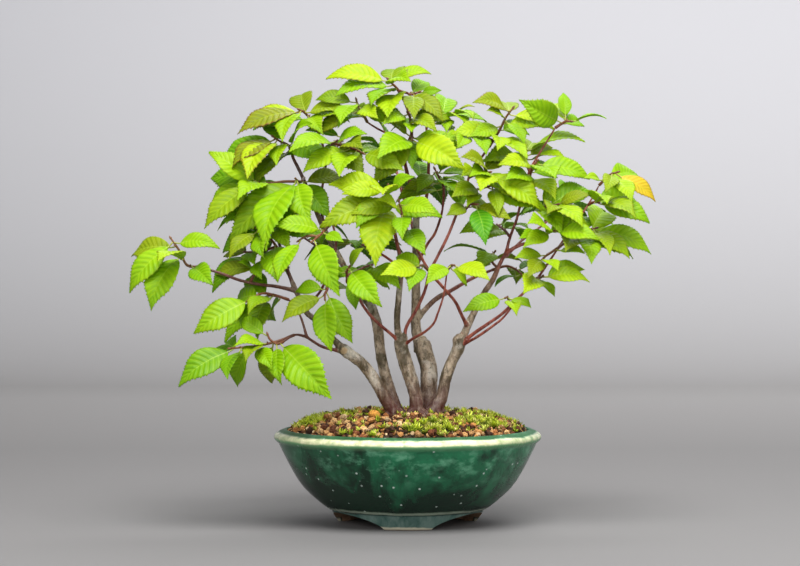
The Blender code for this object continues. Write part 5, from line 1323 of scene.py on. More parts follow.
class BONSAI_OT_make_soil(bpy.types.Operator):
    """Strew akadama grains over the soil and darken the bed below them, partly as painted shade"""

    bl_idname = "bonsai.make_soil"
    bl_label = "Soil"
    bl_options = {"REGISTER", "UNDO"}

    def execute(self, context):
        settings = context.scene.bonsai_ground
        resurface(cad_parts["soil"], bed_material())
        resurface(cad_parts["root_ball"], root_material())
        material = grain_material()
        heap = strew_grains(random.Random(SOIL_SEED), settings.grain_spacing / MM)
        declare(heap.piece("akadama_grains", material))
        declare(lay_pebble(material))
        return {"FINISHED"}


def sprig(draw, size, lean):
    """A star of pointed blades, as two-sided folded strips: about thirty faces."""
    points = []
    faces = []
    count = draw.choice((7, 8, 9))
    start = draw.uniform(0.0, math.pi)
    for blade in range(count):
        around = start + 2.0 * math.pi * blade / count + draw.uniform(-0.2, 0.2)
        rise = math.radians(draw.uniform(18.0, 74.0))
        length = size * draw.uniform(0.75, 1.15)
        flat_x, flat_y = math.cos(around), math.sin(around)
        along = Vector((flat_x * math.cos(rise), flat_y * math.cos(rise), math.sin(rise)))
        side = Vector((-flat_y, flat_x, 0.0))
        up = side.cross(along) * -1.0
        width = 0.15 * size
        root = Vector((0.0, 0.0, 0.0)) + lean * 0.1
        middle = root + along * (0.5 * length) + up * (0.05 * length)
        tip = root + along * length + lean * (0.2 * length)
        base = len(points)
        points += [root + side * (0.5 * width), root - side * (0.5 * width), middle + side * width,
                   middle - side * width, tip, middle - up * (0.1 * size)]
        faces += [(base, base + 2, base + 3, base + 1), (base + 2, base + 4, base + 3),
                  (base, base + 1, base + 5), (base + 5, base + 2, base), (base + 1, base + 3, base + 5),
                  (base + 5, base + 4, base + 2), (base + 5, base + 3, base + 4)]
    return points, faces


def moss_tone(draw):
    """Yellow-green, now and then lime or dark."""
    tone = draw.choices(MOSS_TONES, MOSS_SHARES)[0]
    bright = draw.uniform(0.7, 1.25)
    return tuple(channel * bright for channel in tone)


def plant_sprig(heap, draw, x, y, z, size):
    """One sprig of moss, pale at its tips and darkened towards its foot as painted shade among the blades.
    """
    lean = Vector((draw.uniform(-0.5, 0.5), draw.uniform(-0.5, 0.5), 0.3))
    points, faces = sprig(draw, size, lean)
    tone = moss_tone(draw)
    tones = []
    for point in points:
        share = clamp(point.length / size)
        # painted shade: each blade darkens towards the foot of the sprig
        tones.append(mix_colour(tuple(0.18 * channel for channel in tone), tone, share * 1.25) + (1.0,))
    heap.add([(point.x + x, point.y + y, point.z + z) for point in points], faces, tones)


def moss_mat(pad):
    """The mat of a moss pad: a low lumpy dome, closed by a wall and a floor in the soil."""
    centre_x, centre_y = pad[1:3]
    height = pad[6]
    points = []
    faces = []
    for ring in range(MAT_RINGS + 1):
        share = ring / MAT_RINGS
        for spoke in range(MAT_SPOKES):
            spin = 2.0 * math.pi * spoke / MAT_SPOKES
            wave = 1.0 + 0.08 * math.sin(3.0 * spin + centre_x)
            wave += 0.05 * math.sin(5.0 * spin + centre_y)
            x, y = pad_point(pad, share * wave * 0.97, spin)
            lump = 0.45 * noise.noise(Vector((x, y, 3.0)) * 0.55)
            z = soil_height(math.hypot(x, y)) + 0.3 + (0.55 * height + lump) * (1.0 - share * share)
            points.append((x, y, z if ring < MAT_RINGS else z - 0.2))
            if ring:
                here = (ring - 1) * MAT_SPOKES
                there = here + MAT_SPOKES
                after = (spoke + 1) % MAT_SPOKES
                faces.append((here + spoke, there + spoke, there + after, here + after))
    floor = len(points)
    rim = floor - MAT_SPOKES
    points += [(x, y, soil_height(math.hypot(x, y)) - 0.1) for x, y, z in points[rim:]]
    for spoke in range(MAT_SPOKES):
        after = (spoke + 1) % MAT_SPOKES
        faces.append((rim + spoke, floor + spoke, floor + after, rim + after))
    faces.append(tuple(floor + spoke for spoke in reversed(range(MAT_SPOKES))))
    return points, faces


class BONSAI_OT_make_moss(bpy.types.Operator):
    """Grow moss: a mat of star-like sprigs on each pad, and single ones among the grains"""

    bl_idname = "bonsai.make_moss"
    bl_label = "Moss"
    bl_options = {"REGISTER", "UNDO"}

    def execute(self, context):
        settings = context.scene.bonsai_ground
        material = moss_material()
        draw = random.Random(MOSS_SEED)
        for pad in MOSS_PADS:
            name, _, _, long_half, wide_half, _, height = pad
            heap = Heap()
            heap.add(*moss_mat(pad), MAT_COLOUR)
            area = math.pi * long_half * wide_half
            for _ in range(int(area / settings.sprig_area)):
                reach = math.sqrt(draw.random())
                x, y = pad_point(pad, reach, draw.uniform(0.0, 2.0 * math.pi))
                if math.hypot(x, y) > PAD_SPRIG_LIMIT:
                    continue
                z = soil_height(math.hypot(x, y)) + 0.4 + 0.55 * height * (1.0 - reach * reach)
                plant_sprig(heap, draw, x, y, z, draw.uniform(2.3, 3.7))
            declare(heap.piece(name.replace("moss", "moss_mat"), material), (name,))
        heap = Heap()
        planted = 0
        while planted < settings.loose_sprigs:
            distance = LOOSE_SPRIG_LIMIT * math.sqrt(draw.random())
            spin = draw.uniform(0.0, 2.0 * math.pi)
            x = distance * math.cos(spin)
            y = distance * math.sin(spin)
            size = draw.uniform(2.0, 3.5)
            if distance < ROOT_PAD_RADIUS or near_trunk(x, y, 1.0):
                continue
            plant_sprig(heap, draw, x, y, soil_height(distance) + draw.uniform(0.9, 1.8), size)
            planted += 1
        declare(heap.piece("moss_sprigs", material))
        return {"FINISHED"}


# --- stems ---------------------------------------------------------------
def smooth_route(route, steps):
    """Points of a smooth curve through the points of a route; each may carry a radius."""
    knots = [np.array(point, dtype=float) for point in route]
    knots = [2.0 * knots[0] - knots[1]] + knots + [2.0 * knots[-1] - knots[-2]]
    result = []
    for index in range(1, len(knots) - 2):
        a, b, c, d = knots[index - 1:index + 3]
        for step in range(steps):
            t = step / steps
            result.append(0.5 * (2.0 * b + (c - a) * t + (2.0 * a - 5.0 * b + 4.0 * c - d) * t * t
                                 + (3.0 * b - a - 3.0 * c + d) * t * t * t))
    result.append(knots[-2])
    return result


def tube_curve(name, points, radii, resolution):
    """A round tube along points in millimetres: a curve with a bevel, made a mesh."""
    curve = bpy.data.curves.new(name, "CURVE")
    curve.dimensions = "3D"
    curve.bevel_depth = MM
    curve.bevel_resolution = resolution
    curve.use_fill_caps = True
    spline = curve.splines.new("POLY")
    spline.points.add(len(points) - 1)
    for knot, point, radius in zip(spline.points, points, radii):
        knot.co = (*place(point[:3]), 1.0)
        knot.radius = radius
    piece = bpy.data.objects.new(name, curve)
    bpy.context.scene.collection.objects.link(piece)
    choose(piece)
    bpy.ops.object.convert(target="MESH")
    return bpy.context.object


# how far from a point of the bark the limbs of a fork are looked for
FORK_REACH = 5.2
# cut ends and healed stubs on the trunks: x, y, z, radius of the pale patch
SCARS = ((1.5, -13.8, 87.0, 1.2), (-29.5, -23.0, 82.2, 1.9), (23.4, -7.0, 90.5, 0.9))
# where a branch starts it is thicker: factors on its first radii
COLLAR = (1.4, 1.22, 1.08)
# the rounded end of a cut trunk: how far ahead and how wide, as shares of its radius
ROUND_END = ((0.3, 0.88), (0.52, 0.66), (0.64, 0.36))
# surface roots: share of the reach, height over the foot, share of the trunk's radius
ROOTS_PER_TRUNK = 5
ROOT_COURSE = ((0.25, 3.6, 0.42), (0.55, 1.8, 0.36), (0.85, 0.5, 0.25), (1.15, -0.3, 0.14))


def limb(route, is_branch):
    """Points and radii along one route of a stem, a little uneven, with a collar or a rounded end."""
    points = smooth_route(route, 5)
    radii = []
    for point in points:
        spot = Vector(point[:3])
        swell = 1.0 + 0.05 * noise.noise(spot * 0.16) + 0.03 * noise.noise(spot * 0.5)
        radii.append(float(point[3]) * swell)
    if is_branch:
        radii = [radius * (0.8 if radius < 1.3 else 0.92) for radius in radii]
        for index, factor in enumerate(COLLAR):
            radii[index] *= factor
    if radii[-1] > 1.4:
        last, thick = points[-1], radii[-1]
        ahead = (last - points[-2])[:3]
        ahead *= thick / np.linalg.norm(ahead)
        for share, narrow in ROUND_END:
            points.append(np.append(last[:3] + ahead * share, thick))
            radii.append(thick * narrow)
    return points, radii


def surface_root(foot, around, reach):
    """Points and radii of a root that runs out from the foot of a trunk."""
    points = [(foot[0] + math.cos(around) * share * reach,
               foot[1] + math.sin(around) * share * reach,
               foot[2] + lift) for share, lift, _ in ROOT_COURSE]
    return points, [foot[3] * thick for _, _, thick in ROOT_COURSE]


def raise_bark(stem, samples, bark_relief):
    """Push the skin out by its bark and note the limb's girth and the scars at every vertex."""
    lookup = vertex_finder([place(point) for point, _ in samples])
    thick = [radius for _, radius in samples]
    girths = []
    scars = []
    offsets = []
    for vertex in stem.data.vertices:
        radius = thick[lookup.find(vertex.co)[1]]
        # at a fork the thickest limb around gives the girth
        for _, index, gap in lookup.find_range(vertex.co, FORK_REACH * MM):
            if thick[index] > radius and gap < 1.12 * thick[index] * MM:
                radius = thick[index]
        girths.append(radius)
        spot = vertex.co / MM
        depth = bark_relief * min(radius / 3.0, 1.0)
        drawn_out = Vector((spot.x * 0.9, spot.y * 0.9, spot.z * 0.32))
        relief = noise.fractal(drawn_out, 0.6, 2.2, 4) + 0.5 * noise.noise(spot * 1.7)
        offsets.append(vertex.normal * (relief * depth))
        scar = 0.0
        for x, y, z, size in SCARS:
            gap = (vertex.co - place((x, y, z))).length / MM
            scar = max(scar, clamp((size + 0.35 * noise.noise(spot * 1.2) - gap) / 0.5))
        scars.append(scar)
    for vertex, offset, scar in zip(stem.data.vertices, offsets, scars):
        vertex.co += offset * (1.0 - 0.8 * scar)
    write_values(stem.data, "girth", girths)
    write_values(stem.data, "scar", scars)


class BONSAI_OT_make_stems(bpy.types.Operator):
    """Grow each stem from its routes, fuse its forks and raise the bark"""

    bl_idname = "bonsai.make_stems"
    bl_label = "Stems"
    bl_options = {"REGISTER", "UNDO"}

    def execute(self, context):
        settings = context.scene.bonsai_wood
        material = bark_material(settings)
        draw = random.Random(ROOT_SEED)
        for name, routes in STEMS:
            tubes = []
            samples = []
            for number, route in enumerate(routes):
                points, radii = limb(route, number > 0)
                tubes.append(tube_curve(name + "_route", points, radii, 3 if number else 7))
                samples += [(Vector(point[:3]), radius) for point, radius in zip(points, radii)]
                if number:
                    continue
                foot = points[0]
                for root in range(ROOTS_PER_TRUNK):
                    around = 2.0 * math.pi * root / ROOTS_PER_TRUNK + draw.uniform(-0.4, 0.4)
                    reach = foot[3] * draw.uniform(1.5, 2.1)
                    tubes.append(tube_curve(name + "_root", *surface_root(foot, around, reach), 3))
            stem = join_pieces(tubes, name + "_bark")
            apply_modifier(stem, "REMESH", mode="VOXEL", voxel_size=settings.voxel, use_smooth_shade=True)
            apply_modifier(stem, "SMOOTH", factor=0.5, iterations=4)
            raise_bark(stem, samples, settings.bark_relief)
            resurface(stem, material)
            stem.data.shade_smooth()
            declare(stem, (name,))
        return {"FINISHED"}


# --- leaves --------------------------------------------------------------
def blade_template():
    """Places on a flat leaf, row by row along the veins, from midrib to margin.

    Gives, for every point: share along the midrib, share across (-1 to 1),
    position along and half width as shares, relief, and where the teeth point.
    """
    rows = VEIN_PAIRS * ROWS_PER_VEIN + 1
    points = []
    for row in range(rows):
        share = row / (rows - 1)
        kind = row % ROWS_PER_VEIN
        slant = 0.17 * math.sin(math.pi * share) ** 0.8
        edge = min(share + slant, 1.0)
        width = math.sin(math.pi * edge ** 0.82) ** 0.86 if 0.0 < edge < 1.0 else 0.0
        taper = 1.0 - 0.48 * max(0.0, (edge - 0.66) / 0.34)
        width = max(width * taper, 0.012)
        bulge = 0.5 - 0.5 * math.cos(2.0 * math.pi * kind / ROWS_PER_VEIN)
        envelope = math.sin(math.pi * clamp(share)) ** 0.5
        for across in BLADE_COLUMNS:
            off = abs(across)
            along = share + (edge - share) * off ** 1.2
            half = width * off * (1.0 if across >= 0.0 else -1.0)
            teeth = 1.0 if off == 1.0 else 0.0
            flow = min(off / 0.28, 1.0) * (1.0 - 0.45 * max(0.0, (off - 0.6) / 0.4))
            points.append((share, across, along, half, bulge * flow * envelope,
                           teeth * TOOTH_OUT[kind] * envelope,
                           teeth * TOOTH_FORWARD[kind] * envelope))
    columns = len(BLADE_COLUMNS)
    faces = []
    for row in range(rows - 1):
        for column in range(columns - 1):
            low = row * columns + column
            faces.append((low, low + columns, low + columns + 1, low + 1))
    return np.array(points), faces


def shape_blade(template, base, heading, dip, reach, roll, draw):
    """A template laid along one leaf of the design, cupped, arched, twisted and curled."""
    along, up, side = leaf_axes(base, heading, dip, roll)
    stalk = min(PETIOLE_LENGTH, 0.25 * reach)
    length = reach - stalk
    foot = base + along * stalk
    width = 0.5 * LEAF_WIDTH * length * draw.uniform(0.88, 1.04)
    across, place_along, half, bulge, out, forward = template.T[1:]
    arch = LEAF_ARCH * draw.uniform(0.85, 1.25)
    curl = draw.uniform(0.03, 0.12)
    fold = draw.uniform(0.1, 0.34)
    twist = math.radians(draw.uniform(-14.0, 14.0))
    sweep = draw.uniform(-0.05, 0.05)
    ripple = draw.uniform(0.008, 0.024)
    beat = draw.uniform(0.0, 6.28)
    s = place_along + forward
    wide = half * width + np.sign(across) * out * length
    height = length * arch * 4.0 * s * (1.0 - s) - length * curl * np.clip(s - 0.66, 0.0, 1.0) ** 2 * 5.0
    height += fold * np.abs(wide) - 0.42 * fold * np.abs(wide) * np.abs(across) ** 3
    height += length * 0.021 * bulge
    height += length * ripple * np.abs(across) ** 2 * np.sin(9.0 * s + beat + 1.3 * across)
    sideways = wide + length * sweep * (s ** 2 - s) * 4.0
    angle = twist * (s - 0.2)
    turned = sideways * np.cos(angle) - (height - length * arch * 4.0 * s * (1.0 - s)) * np.sin(angle)
    lifted = height + sideways * np.sin(angle)
    axes = np.array([along[:], side[:], up[:]])
    spots = np.column_stack([s * length, turned, lifted]) @ axes
    return spots + np.array(foot[:])


def leaf_tone(name, row_number, tip, place_share, draw):
    """Colour of a leaf from where it hangs, with painted light and shade: pale where the light falls, deep
    inside and behind.
    """
    special = LEAF_COLOURS.get((name, row_number))
    if special is not None:
        return special[0] + (special[1],)
    # painted light and shade: leaves high up, in front and to the right are paler, those low and behind
    # deeper
    light = 0.42 + 0.26 * (tip.z - 110.0) / 90.0 + 0.36 * (-tip.y) / 45.0 + 0.1 * place_share
    light += 0.2 * clamp(tip.x / 50.0) + draw.uniform(-0.28, 0.28)
    if light < 0.42:
        colour = mix_colour(DEEP_GREEN, MID_GREEN, light / 0.42)
    elif light < 0.8:
        colour = mix_colour(MID_GREEN, LIME_GREEN, (light - 0.42) / 0.38)
    else:
        colour = mix_colour(LIME_GREEN, YELLOW_GREEN, (light - 0.8) / 0.5)
    high = (tip.z - 165.0) / 40.0
    chance = draw.random()
    if chance < 0.25 + 0.3 * max(high, 0.0):
        colour = mix_colour(colour, OLIVE_GREEN, draw.uniform(0.3, 0.8))
    edge = draw.uniform(0.0, 0.35) + 0.45 * clamp(high) * draw.random()
    return colour + (edge,)


def built_start(route, found):
    """Where a twig really starts: the start whose first ring is in the CAD node."""
    first, second = Vector(route[0]), Vector(route[1])
    rest = [Vector(point) for point in route[1:]]
    length = (second - first).length
    for step in range(1, 40):
        share = START_STEP * step / length
        if share > 0.9:
            break
        points = [first.lerp(second, share)] + rest
        ring = tube(points, twig_radii(points), 4)[0][:4]
        if sum(found(corner) for corner in ring) >= 3:
            return points
    return [first.lerp(second, 0.5)] + rest


def built_leaf(base, row, changes, found):
    """The change of a leaf whose tip is in the CAD node, or nothing if it was left out."""
    heading, dip, reach, roll = row
    for turn, drop, scale in changes:
        placed = (heading + turn, dip + drop, reach * scale, roll)
        if found(base + leaf_axes(base, placed[0], placed[1], roll)[0] * placed[2]):
            return placed
    return None


def node_finder(node):
    """A test of whether a design point is a vertex of a CAD node."""
    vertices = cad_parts[node].data.vertices
    lookup = vertex_finder([vertex.co for vertex in vertices])
    return lambda point: lookup.find(place(point))[2] < FOUND_WITHIN


def bud(centre, along, size):
    """A pointed bud as a ring tube: points, radii."""
    points = [centre + along * (size * share) for share in (-0.2, 0.1, 0.45, 0.8, 1.1)]
    radii = [size * share for share in (0.16, 0.3, 0.34, 0.22, 0.04)]
    return points, radii


# colours of buds, of the palest twig and of the stalk at its two ends
END_BUD = (0.2, 0.085, 0.035, 1.0)
SIDE_BUD = (0.22, 0.1, 0.035, 1.0)
PALE_TWIG = (0.18, 0.14, 0.03)
STALK_GREEN = (0.48, 0.56, 0.12)
STALK_RED = (0.33, 0.09, 0.04)
STALK_SIDES = 6


def grow_twig(shoots, route, colour, draw):
    """A young twig with a bud at its end."""
    curve = [Vector(point) for point in smooth_route([tuple(point) for point in route], 4)]
    last = len(curve) - 1
    radii = [0.74 - 0.3 * step / last + 0.05 * math.sin(step * 2.1) for step in range(last + 1)]
    young = mix_colour(colour, PALE_TWIG, draw.uniform(0.0, 0.5))
    shoots.add_tube(curve, radii, 8, young + (1.0,))
    along = (curve[-1] - curve[-2]).normalized()
    shoots.add_tube(*bud(curve[-1], along, 1.7), 7, END_BUD)


def grow_stalk(shoots, base, spots, up, tone):
    """A leaf's stalk, which runs on under the blade as its midrib."""
    columns = len(BLADE_COLUMNS)
    middle = columns // 2
    rows = range(0, len(spots) // columns, ROWS_PER_VEIN)
    rib = [Vector(spots[row * columns + middle]) - up * 0.12 for row in rows]
    stalk = [base, base.lerp(Vector(spots[middle]), 0.5) - up * 0.25] + rib[:-1]
    count = len(stalk)
    radii = [0.4, 0.33] + [0.3 * (1.0 - index / (count - 2)) + 0.05 for index in range(count - 2)]
    green = mix_colour(tone[:3], STALK_GREEN, 0.6)
    red = mix_colour(green, STALK_RED, 0.25 + 0.5 * tone[3])
    tones = []
    for ring in range(count):
        tones += [mix_colour(red, green, ring / 4.0) + (1.0,)] * STALK_SIDES
    shoots.add_tube(stalk, radii, STALK_SIDES, tones)


def blade_piece(name, blades, uv_points, material, thickness):
    """The blades of a spray as one mesh with its UV layer and its thickness."""
    piece = blades.piece(name, material, smooth=True)
    layer = piece.data.uv_layers.new(name="blade")
    corners = np.empty(len(piece.data.loops), dtype=np.int32)
    piece.data.loops.foreach_get("vertex_index", corners)
    uvs = uv_points[corners % len(uv_points)]
    layer.data.foreach_set("uv", uvs.astype(np.float32).ravel())
    apply_modifier(piece, "SOLIDIFY", thickness=thickness, offset=0.0, use_rim=True)
    return piece


class BONSAI_OT_make_leaves(bpy.types.Operator):
    """Put a toothed, pleated blade, its stalk and its twig where each coarse leaf stands"""

    bl_idname = "bonsai.make_leaves"
    bl_label = "Leaves"
    bl_options = {"REGISTER", "UNDO"}

    def execute(self, context):
        settings = context.scene.bonsai_leaves
        blade_paint = leaf_material(settings)
        shoot_paint = shoot_material()
        template, template_faces = blade_template()
        uv_points = np.column_stack([template[:, 0], 0.5 + 0.5 * template[:, 1]])
        changes = leaf_variants()
        for number, (name, twigs, rows) in enumerate(spray_plan()):
            draw = random.Random(LEAF_SEED + number)
            found = node_finder(name)
            routes = [built_start(twigs[0], found)]
            routes += [[Vector(point) for point in twig] for twig in twigs[1:]]
            blades = Heap()
            shoots = Heap()
            for twig, route in zip(twigs, routes):
                grow_twig(shoots, [Vector(twig[0])] + route[1:], settings.shoot_colour[:3], draw)
            for row_number, (twig, share, *row) in enumerate(rows):
                base = point_on(routes[twig], min(share, LAST_LEAF_SHARE))
                placed = built_leaf(base, row, changes, found)
                if placed is None:
                    continue
                spots = shape_blade(template, base, *placed, draw)
                heading, dip, reach, roll = placed
                along, up = leaf_axes(base, heading, dip, roll)[:2]
                tone = leaf_tone(name, row_number, base + along * reach, share, draw)
                blades.add(spots, template_faces, tone)
                grow_stalk(shoots, base, spots, up, tone)
                if share < 0.9:
                    side_bud = bud(base + up * 0.35, (along + up).normalized(), 1.1)
                    shoots.add_tube(*side_bud, STALK_SIDES, SIDE_BUD)
            foliage = name.replace("leaves", "foliage")
            blade = blade_piece(foliage, blades, uv_points, blade_paint, settings.thickness)
            shoot = shoots.piece(name + "_shoots", shoot_paint, smooth=True)
            declare(join_pieces([blade, shoot], foliage), (name,))
        return {"FINISHED"}


# --- stage ---------------------------------------------------------------
# the paper in metres: half its width, its front end, its top, and the bend between floor and backdrop
PAPER_HALF_WIDTH = 3.5
PAPER_FRONT = -2.5
PAPER_TOP = 3.0
PAPER_BEND = 0.45
PAPER_STEPS = 12
# lamps that look at the tree: name, position, size, setting of the power, factor on it
LAMPS = (
    ("key_overhead", (0.10, -0.80, 1.45), (1.0, 1.0), "key_power", 1.0),
    ("fill_left", (-1.35, -0.9, 0.55), (0.9, 1.1), "fill_power", 1.0),
    ("fill_right", (1.30, -0.8, 0.70), (0.9, 1.1), "fill_power", 1.2),
    ("front_low", (-0.15, -1.45, 0.42), (0.45, 0.35), "front_power", 1.0),
    ("back_top", (0.30, 0.95, 1.25), (1.0, 0.6), "back_power", 1.0),
)
LAMP_AIM_HEIGHT = 0.11
AIR_COLOUR = (0.93, 0.95, 1.0, 1.0)
# the camera, in millimetres from the pot, and how far it looks down at the pot's distance
EYE = (-3.6, -1200.0, 132.0)
EYE_DROP = 18.7


def area_light(name, place_m, aim_m, size, power):
    """A soft rectangular light that looks at a point."""
    light = bpy.data.lights.new(name, "AREA")
    light.shape = "RECTANGLE"
    light.size = size[0]
    light.size_y = size[1]
    light.energy = power
    lamp = bpy.data.objects.new(name, light)
    lamp.location = place_m
    lamp.visible_camera = False
    lamp.rotation_euler = (Vector(aim_m) - Vector(place_m)).to_track_quat("-Z", "Y").to_euler()
    bpy.context.scene.collection.objects.link(lamp)


def paper_material(settings):
    """Paper with painted light and shade: lighter up the backdrop, to the right and near the front, darker
    low down behind the pot and to the left; clear when seen from behind.
    """
    paint = Paint("studio_paper")
    x, y, z = paint.split(paint.coords)
    # painted light: the paper brightens from the floor up into the backdrop, and to the right
    lift = paint.math("POWER", paint.ramp(z, 0.0, 0.40), 0.60)
    colour = paint.mix(lift, settings.floor_colour[:3], settings.backdrop_colour[:3])
    side = paint.mix(paint.ramp(x, -0.5, 0.5), (0.88, 0.88, 0.88), (1.08, 1.08, 1.08))
    colour = paint.tint(1.0, colour, side)
    # painted shade on the floor behind the pot, painted light near the front
    deep = paint.ramp(y, 0.95, 0.42, 1.0, 0.7)
    near = paint.times(deep, paint.ramp(y, 0.3, -0.15, 1.0, 1.12))
    paint.set(base_color=paint.tint(1.0, colour, near), roughness=0.85, specular=0.15)
    backfacing = paint.add("ShaderNodeNewGeometry").outputs["Backfacing"]
    paint.blend_in(backfacing, paint.add("ShaderNodeBsdfTransparent"))
    return paint.material


def lay_paper(depth, material):
    """A floor that bends up into a backdrop at a distance behind the pot."""
    start = depth - PAPER_BEND
    outline = [(PAPER_FRONT, 0.0), (start, 0.0)]
    for step in range(1, PAPER_STEPS + 1):
        angle = 0.5 * math.pi * step / PAPER_STEPS
        outline.append((start + PAPER_BEND * math.sin(angle), PAPER_BEND - PAPER_BEND * math.cos(angle)))
    outline.append((depth, PAPER_TOP))
    points = [(x, y, z) for y, z in outline for x in (-PAPER_HALF_WIDTH, PAPER_HALF_WIDTH)]
    corners = range(0, 2 * len(outline) - 2, 2)
    faces = [(corner, corner + 1, corner + 3, corner + 2) for corner in corners]
    return new_piece("studio_paper", points, faces, material)


class BONSAI_OT_make_stage(bpy.types.Operator):
    """Set the pale floor and backdrop, the soft lights and the camera"""

    bl_idname = "bonsai.make_stage"
    bl_label = "Stage"
    bl_options = {"REGISTER", "UNDO"}

    def execute(self, context):
        settings = context.scene.bonsai_stage
        depth = settings.backdrop_distance
        lay_paper(depth, paper_material(settings))
        middle = (MODEL_SHIFT[0] * MM, MODEL_SHIFT[1] * MM, LAMP_AIM_HEIGHT)
        for name, spot, size, power, factor in LAMPS:
            area_light(name, spot, middle, size, getattr(settings, power) * factor)
        area_light("backdrop_wash", (0.5, 0.75, 1.9), (0.35, depth, 0.75), (1.4, 0.5), settings.wash_power)
        world = bpy.data.worlds.new("studio_air")
        world.use_nodes = True
        air = world.node_tree.nodes["Background"]
        air.inputs["Color"].default_value = AIR_COLOUR
        air.inputs["Strength"].default_value = settings.air_light
        context.scene.world = world
        camera = bpy.data.cameras.new("camera")
        camera.sensor_width = 36.0
        camera.lens = settings.lens
        camera.clip_start = 0.05
        camera.clip_end = 20.0
        eye = bpy.data.objects.new("camera", camera)
        eye.location = place(EYE)
        eye.rotation_euler = (math.radians(90.0) - math.atan(EYE_DROP / -EYE[1]), 0.0, 0.0)
        context.scene.collection.objects.link(eye)
        context.scene.camera = eye
        context.scene.view_settings.view_transform = "Standard"
        context.scene.view_settings.exposure = settings.exposure
        return {"FINISHED"}


# --- settings ------------------------------------------------------------
def colour_setting(name, description, value):
    """A colour with an alpha of 1."""
    return bpy.props.FloatVectorProperty(name=name, description=description, subtype="COLOR", size=4,
                                         min=0.0, max=1.0, default=value + (1.0,))


def number_setting(name, description, value, low, high, **more):
    """A number between two limits."""
    return bpy.props.FloatProperty(name=name, description=description, default=value,
                                   min=low, max=high, **more)


def length_setting(name, description, value, low, high):
    """A length in metres between two limits."""
    return number_setting(name, description, value, low, high, unit="LENGTH", precision=5)


def power_setting(name, description, value):
    """The power of a light in watts."""
    return number_setting(name, description, value, 0.0, 1000.0, subtype="POWER")


def count_setting(name, description, value, low, high):
    """A whole number between two limits."""
    return bpy.props.IntProperty(name=name, description=description, default=value, min=low, max=high)


class BonsaiPot(bpy.types.PropertyGroup):
    """Sizes and colours of the pot"""

    spin_steps: count_setting("Spin steps", "Facets round the pot", 180, 24, 360)
    glaze_dark: colour_setting("Dark glaze", "Colour of the thick glaze", (0.004, 0.026, 0.012))
    glaze_light: colour_setting("Light glaze", "Colour where the glaze runs thin", (0.022, 0.21, 0.092))


class BonsaiGround(bpy.types.PropertyGroup):
    """Soil and moss"""

    grain_spacing: length_setting("Grain spacing", "Distance between soil grains", 0.0025, 0.0015, 0.006)
    sprig_area: number_setting("Sprig area", "Square millimetres of pad for each moss sprig", 4.6, 1.0, 20.0)
    loose_sprigs: count_setting("Loose sprigs", "Moss sprigs among the grains", 240, 0, 1000)


class BonsaiWood(bpy.types.PropertyGroup):
    """Bark of the stems"""

    voxel: length_setting("Voxel", "Cell size that fuses the forks", 0.00036, 0.0002, 0.001)
    bark_relief: length_setting("Bark relief", "Depth of the bark on a thick trunk", 0.00022, 0.0, 0.001)
    old_bark: colour_setting("Old bark", "Dark tone of the trunks", (0.17, 0.11, 0.06))
    young_bark: colour_setting("Young bark", "Dark tone of thin branches", (0.13, 0.014, 0.01))


class BonsaiLeaves(bpy.types.PropertyGroup):
    """Leaves and young shoots"""

    thickness: length_setting("Blade thickness", "Thickness of a leaf blade", 0.00022, 0.0001, 0.001)
    light_through: number_setting("Light through", "Share of light that passes a blade", 0.34, 0.0, 1.0)
    vein_colour: colour_setting("Veins", "Colour that veins lean to", (0.56, 0.82, 0.06))
    margin_colour: colour_setting("Margin", "Red-brown of young margins", (0.23, 0.06, 0.015))
    shoot_colour: colour_setting("Shoots", "Red-brown of young twigs", (0.2, 0.036, 0.018))


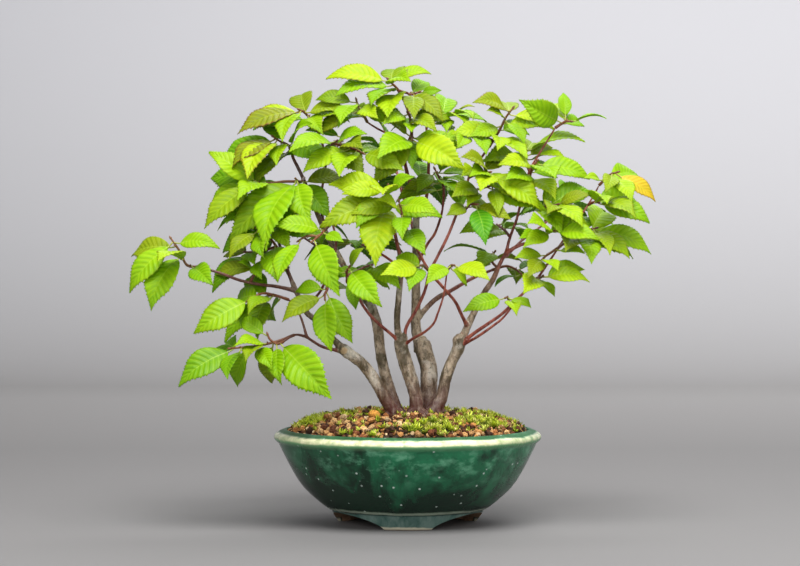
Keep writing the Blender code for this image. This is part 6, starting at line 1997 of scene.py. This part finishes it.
class BonsaiStage(bpy.types.PropertyGroup):
    """Floor, lights and camera"""

    backdrop_distance: length_setting("Backdrop distance", "From the pot to the backdrop", 1.6, 0.5, 5.0)
    floor_colour: colour_setting("Floor", "Colour of the floor", (0.25, 0.243, 0.24))
    backdrop_colour: colour_setting("Backdrop", "Colour of the backdrop's upper part", (0.59, 0.586, 0.61))
    key_power: power_setting("Key light", "Power of the overhead light", 41.0)
    fill_power: power_setting("Side lights", "Power of the side lights", 4.6)
    front_power: power_setting("Front light", "Power of the low light in front", 5.0)
    back_power: power_setting("Back light", "Power of the light behind", 7.0)
    wash_power: power_setting("Backdrop light", "Power of the light on the backdrop", 17.0)
    air_light: number_setting("Air light", "Even light from all round", 0.22, 0.0, 3.0)
    lens: number_setting("Lens", "Focal length in millimetres on a 36 mm sensor", 114.4, 20.0, 300.0)
    exposure: number_setting("Exposure", "Brightness of the picture", 0.0, -3.0, 3.0)


class BONSAI_PT_panel(bpy.types.Panel):
    """Lists the pieces of the bonsai"""

    bl_idname = "BONSAI_PT_panel"
    bl_label = "Clump bonsai"
    bl_space_type = "VIEW_3D"
    bl_region_type = "UI"
    bl_category = "Bonsai"

    def draw(self, context):
        for label, group, operators in PANEL_PARTS:
            box = self.layout.box()
            box.label(text=label)
            settings = getattr(context.scene, group)
            for key in settings.__annotations__:
                box.prop(settings, key)
            for operator in operators:
                box.operator(operator)


PANEL_PARTS = (
    ("Pot", "bonsai_pot", ("bonsai.make_pot", "bonsai.make_drainage")),
    ("Soil and moss", "bonsai_ground", ("bonsai.make_soil", "bonsai.make_moss")),
    ("Stems", "bonsai_wood", ("bonsai.make_stems",)),
    ("Leaves", "bonsai_leaves", ("bonsai.make_leaves",)),
    ("Stage", "bonsai_stage", ("bonsai.make_stage",)),
)
GROUPS = (
    ("bonsai_pot", BonsaiPot),
    ("bonsai_ground", BonsaiGround),
    ("bonsai_wood", BonsaiWood),
    ("bonsai_leaves", BonsaiLeaves),
    ("bonsai_stage", BonsaiStage),
)
OPERATORS = (
    BONSAI_OT_make_pot,
    BONSAI_OT_make_drainage,
    BONSAI_OT_make_soil,
    BONSAI_OT_make_moss,
    BONSAI_OT_make_stems,
    BONSAI_OT_make_leaves,
    BONSAI_OT_make_stage,
    BONSAI_PT_panel,
)


def register():
    """Add the settings, operators and panel."""
    for key, group in GROUPS:
        bpy.utils.register_class(group)
        setattr(bpy.types.Scene, key, bpy.props.PointerProperty(type=group))
    for operator in OPERATORS:
        bpy.utils.register_class(operator)


def unregister():
    """Take them away again."""
    for operator in reversed(OPERATORS):
        bpy.utils.unregister_class(operator)
    for key, group in reversed(GROUPS):
        delattr(bpy.types.Scene, key)
        bpy.utils.unregister_class(group)


def main():
    """Build every piece in order."""
    register()
    for _, _, operators in PANEL_PARTS:
        for operator in operators:
            getattr(bpy.ops.bonsai, operator.split(".")[1])()


if __name__ == "__main__":
    main()
